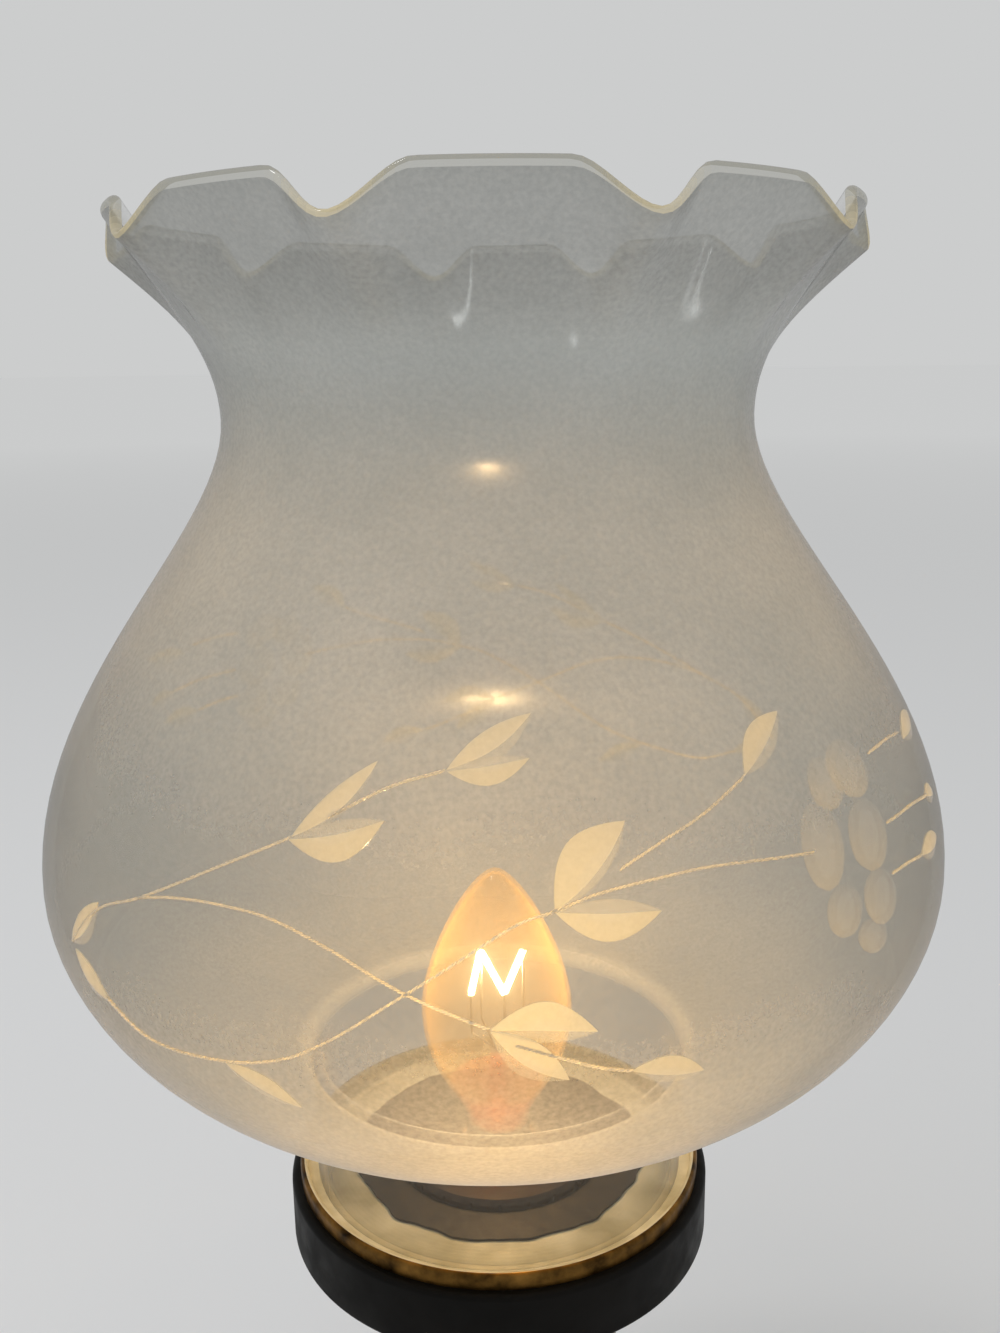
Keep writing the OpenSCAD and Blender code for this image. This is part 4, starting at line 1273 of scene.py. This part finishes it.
@dataclass
class Seat:
    """Brass seat, heat disc, clamping ring and black platform; lengths in millimetres."""

    lip_w: float = 1.8
    lip_h: float = 2.2
    hole_r: float = 14.4
    groove_from: float = 41.0
    groove_gap: float = 1.9
    groove_w: float = 0.6
    groove_depth: float = 0.14
    disc_play: float = 0.25
    # How far the heat disc's edge wanders, and the pace, share and noise layer of each of its waves
    wander: float = 1.6
    waves: tuple[tuple[float, float, float], ...] = ((3, 1.0, 0), (8, 0.4, 3))
    platform_round: float = 1.4
    steps: int = 192

    def __post_init__(self) -> None:
        """Takes the seat's levels and radii from the frame."""
        low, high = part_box("seat_plate")
        self.lip_r = high.x / MM
        self.lip_z = high.z / MM
        self.seat_z = self.lip_z - self.lip_h
        self.under_z = low.z / MM

    def plate_line(self) -> list[Vector]:
        """Profile of the spun plate: hole, flat, fine grooves and a beaded lip.

        Returns:
            Radius and height of each point.
        """
        line = [Vector((self.hole_r, self.under_z)), Vector((self.hole_r, self.seat_z))]
        radius = self.groove_from
        inner = self.lip_r - self.lip_w
        while radius + self.groove_gap < inner:
            line += [Vector((radius, self.seat_z)),
                     Vector((radius + self.groove_w / 2, self.seat_z - self.groove_depth)),
                     Vector((radius + self.groove_w, self.seat_z))]
            radius += self.groove_gap
        bead = self.lip_w / 2
        line.append(Vector((inner, self.seat_z)))
        line += arc(Vector((self.lip_r - bead, self.lip_z - bead)), bead, 180, 0, 9)
        return [*line, Vector((self.lip_r, self.under_z))]

    def platform_line(self) -> list[Vector]:
        """Profile of the platform: a flat disc with rounded edges.

        Returns:
            Radius and height of each point.
        """
        low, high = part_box("platform")
        radius, bottom, top = high.x / MM, low.z / MM, high.z / MM
        k = self.platform_round
        return [Vector((self.hole_r, bottom)),
                *arc(Vector((radius - k, bottom + k)), k, -90, 0, 9),
                *arc(Vector((radius - k, top - k)), k, 0, 90, 9),
                Vector((self.hole_r, top))]

    def build(self) -> None:
        """Turns the plate and the platform and dresses what lies on them."""
        plate = lathe(self.plate_line(), self.steps)
        for face in plate.faces:
            middle = face.calc_center_median()
            outer = middle.xy.length > (self.lip_r - self.lip_w / 2) * MM
            face.material_index = int(outer and middle.z > self.under_z * MM)
        finished("spun_seat_plate", plate, SPUN_BRASS, "seat_plate", crease=50.0, trims=(WORN_BRASS,))
        platform = lathe(self.platform_line(), self.steps)
        finished("lacquered_platform", platform, BLACK_LACQUER, "platform")
        self.heat_disc()
        refined("socket_ring", BAKELITE)

    def heat_disc(self) -> None:
        """Cuts the heat disc by hand: its edge wanders a little."""
        low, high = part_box("heat_disc")
        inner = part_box("socket_ring")[1].x / MM + self.disc_play
        outer, bottom, top = high.x / MM, low.z / MM, high.z / MM
        corners = ((inner, bottom), (outer, bottom), (outer, top), (inner, top))
        bm = lathe([Vector(corner) for corner in corners], self.steps)
        for vert in bm.verts:
            if vert.co.xy.length > (inner + 1) * MM:
                way = vert.co.xy.normalized()
                wander = sum(share * noise.noise(Vector((*(pace * way), layer)))
                             for pace, share, layer in self.waves)
                vert.co.xy += self.wander * wander * MM * way
        finished("cut_heat_disc", bm, HEAT_FIBRE, "heat_disc")


@dataclass
class Stand:
    """Turned column, brass collar and foot; lengths in millimetres above the column's underside."""

    bead: Vector = Vector((19.0, 2.6))
    ankle: Vector = Vector((15.0, 8.0))
    belly: Vector = Vector((40.0, 40.0))
    neck_r: float = 19.0
    neck_len: float = 17.5
    flange: Vector = Vector((21.0, 4.0))
    flange_slope: float = 1.5
    ankle_pull: float = 10.0
    low_pull: float = 16.0
    high_pull: float = 25.0
    neck_pull: float = 25.0
    steps: int = 160

    def column_line(self, height: float) -> list[Vector]:
        """Profile of the column from its bead to its flange.

        Args:
            height: Height of the column.

        Returns:
            Radius and height of each point, from axis to axis.
        """
        neck = Vector((self.neck_r, height - self.neck_len))
        flange_h = height - self.flange.y
        low = curve(self.ankle, Vector((0, self.ankle_pull)), Vector((0, -self.low_pull)), self.belly, 24)
        high = curve(self.belly, Vector((0, self.high_pull)), Vector((0, -self.neck_pull)), neck, 28)
        bead = arc(Vector((self.bead.x - self.bead.y / 2, self.bead.y / 2)), self.bead.y / 2, -90, 90, 9)
        top = [Vector((self.neck_r, flange_h - self.flange_slope)), Vector((self.flange.x, flange_h)),
               Vector((self.flange.x, height))]
        return [Vector((0, 0)), *bead, *low, *high[1:], *top, Vector((0, height))]

    def build(self) -> None:
        """Turns the column and dresses the collar, the foot and what closes it."""
        low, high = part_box("column")
        column = lathe(self.column_line((high.z - low.z) / MM), self.steps, closed=False)
        bmesh.ops.translate(column, verts=column.verts[:], vec=(0, 0, low.z))
        finished("turned_column", column, DARK_WOOD, "column")
        refined("collar", TURNED_BRASS)
        refined("foot", DARK_WOOD)
        refined("felt_pad", FELT)
        refined("cord_bushing", BAKELITE)


@dataclass
class Switch:
    """Rotary switch in the foot."""

    shown: tuple[str, ...] = ("switch_knob", "switch_nut", "switch_bushing", "switch_shaft")

    def build(self) -> None:
        """Dresses the pieces that show from outside."""
        for node in self.shown:
            refined(node, KNURLED_BRASS)


@dataclass
class Fittings:
    """Lampholder, pipe, wiring and fasteners inside the lamp, and the solids under the finished pieces."""

    def build(self) -> None:
        """Gives every frame node its slot's finish."""
        for node in sorted(frame["nodes"]):
            dressed(node, SLOT_FINISH[NODE_SLOT[node]])


@dataclass
class Studio:
    """Pale floor, soft light and a camera at the photograph's place."""

    # Place and turn of the camera: metres, and radians down, to the right and clockwise
    eye: Vector = Vector((0.0, -0.26588, 0.35218))
    pitch: float = 0.2382
    yaw: float = 0.0069
    roll: float = -0.0134
    # Focal length in the photograph's pixels, and the sensor's width in millimetres
    focal: float = 1250.15
    sensor: float = 36.0
    floor_r: float = 60.0
    sky: str = "#cccdcd"
    # What the lights look at
    aim: Vector = Vector((0, 0, 0.25))
    # Colour and radius of the filament's light, and of the light that glass sends on ahead
    filament_hex: str = "#ffd6a4"
    filament_r: float = 0.004
    ahead_hex: str = "#ffd080"
    ahead_r: float = 0.01
    # Watts of the filament, of what etched glass sends on ahead, and of what cut leaves and threads add
    filament_light: float = 0.16
    forward_light: float = 0.28
    leaf_light: float = 0.55
    thread_light: float = 1.5

    def camera(self) -> None:
        """Places the camera as the photograph's was."""
        ahead = Vector((math.sin(self.yaw) * math.cos(self.pitch), math.cos(self.yaw) * math.cos(self.pitch),
                        -math.sin(self.pitch)))
        right = Vector((math.cos(self.yaw), -math.sin(self.yaw), 0))
        up = right.cross(ahead)
        level = math.cos(self.roll) * right + math.sin(self.roll) * up
        upright = math.cos(self.roll) * up - math.sin(self.roll) * right
        data = bpy.data.cameras.new("photo_camera")
        data.sensor_fit = "HORIZONTAL"
        data.sensor_width = self.sensor
        data.lens = self.focal / PHOTO_W * self.sensor
        data.clip_start = 0.01
        camera = bpy.data.objects.new("photo_camera", data)
        turned = Matrix((level, upright, -ahead)).transposed().to_4x4()
        camera.matrix_world = Matrix.Translation(self.eye) @ turned
        bpy.context.scene.collection.objects.link(camera)
        bpy.context.scene.camera = camera

    def lamp(self, name: str, kind: str, energy: float, colour: str, place: Vector, size: float,
             mirrored: bool = True) -> bpy.types.Object:
        """Adds a light that looks at the shade.

        Args:
            name: Name of the light.
            kind: Blender's kind of light.
            energy: Its power in watts.
            colour: Its hex colour.
            place: Where it stands, in metres.
            size: Width of an area light, or radius of a point light, in metres.
            mirrored: Whether glossy surfaces mirror it.

        Returns:
            The light.
        """
        data = bpy.data.lights.new(name, kind)
        data.energy = energy
        data.color = linear(colour)[:3]
        if kind == "AREA":
            data.size = size
        else:
            data.shadow_soft_size = size
        light = bpy.data.objects.new(name, data)
        light.location = place
        light.visible_glossy = mirrored
        light.rotation_euler = (self.aim - place).to_track_quat("-Z", "Y").to_euler()
        bpy.context.scene.collection.objects.link(light)
        return light

    def filament_spot(self) -> Vector:
        """Middle of the filament."""
        low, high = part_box("bulb_filament")
        return (low + high) / 2

    def light_glass(self, name: str, energy: float, pieces: Iterable[str]) -> None:
        """Lights glass that scatters the filament's light ahead, far more than a matt surface would.

        Args:
            name: Name of the light.
            energy: Its power in watts.
            pieces: Pieces of the shade, which this light alone reaches.
        """
        lit = bpy.data.collections.new(f"{name}_pieces")
        for piece in pieces:
            lit.objects.link(bpy.data.objects[piece])
        light = self.lamp(name, "POINT", energy, self.ahead_hex, self.filament_spot(), self.ahead_r,
                          mirrored=False)
        light.light_linking.receiver_collection = lit

    def floor(self) -> None:
        """Lays a pale floor, painted lighter far off, that meets the sky without a line."""
        bm = bmesh.new()
        bmesh.ops.create_circle(bm, cap_ends=True, segments=96, radius=self.floor_r)
        floor = shown("floor", bm, (FLOOR,))

    def bloom(self) -> None:
        """Lets the filament glow a little past its edge, as in a camera's lens."""
        scene = bpy.context.scene
        scene.use_nodes = True
        tree = scene.node_tree
        tree.nodes.clear()
        seen = add(tree, "CompositorNodeRLayers").outputs["Image"]
        glow = add(tree, "CompositorNodeGlare",
                   {"Image": seen, "Threshold": 2.0, "Strength": 0.22, "Size": 0.3},
                   glare_type="BLOOM").outputs["Image"]
        add(tree, "CompositorNodeComposite", {"Image": glow})

    def build(self) -> None:
        """Sets up the camera, the floor and the lights."""
        scene = bpy.context.scene
        self.camera()
        self.floor()
        world = bpy.data.worlds.new("studio_sky")
        world.use_nodes = True
        world.node_tree.nodes["Background"].inputs["Color"].default_value = linear(self.sky)
        scene.world = world
        scene.view_settings.view_transform = "Standard"
        scene.cycles.transparent_max_bounces = 32
        self.bloom()
        self.lamp("soft_top", "AREA", 5.0, "#f4f7ff", Vector((-0.7, -0.5, 1.5)), 1.0, mirrored=False)
        self.lamp("skylight", "AREA", 2.0, "#ffffff", Vector((-0.51, -0.08, 1.55)), 0.2)
        self.lamp("filament_light", "POINT", self.filament_light, self.filament_hex, self.filament_spot(),
                  self.filament_r)


def main() -> None:
    """Builds the studio and the lamp's sub-assemblies in order."""
    logging.basicConfig(level=logging.INFO, format="%(message)s")
    studio, shade = Studio(), Shade()
    for part in (studio, shade, CutVine(shade), Bulb(), Seat(), Stand(), Switch(), Fittings()):
        part.build()
    stems, facets = ["cut_vine_stems"], ["cut_vine_leaves", "cut_vine_petals"]
    studio.light_glass("forward_light", studio.forward_light, ["blown_glass_shade", *stems, *facets])
    studio.light_glass("leaf_light", studio.leaf_light, facets)
    studio.light_glass("thread_light", studio.thread_light, stems)


if __name__ == "__main__":
    main()
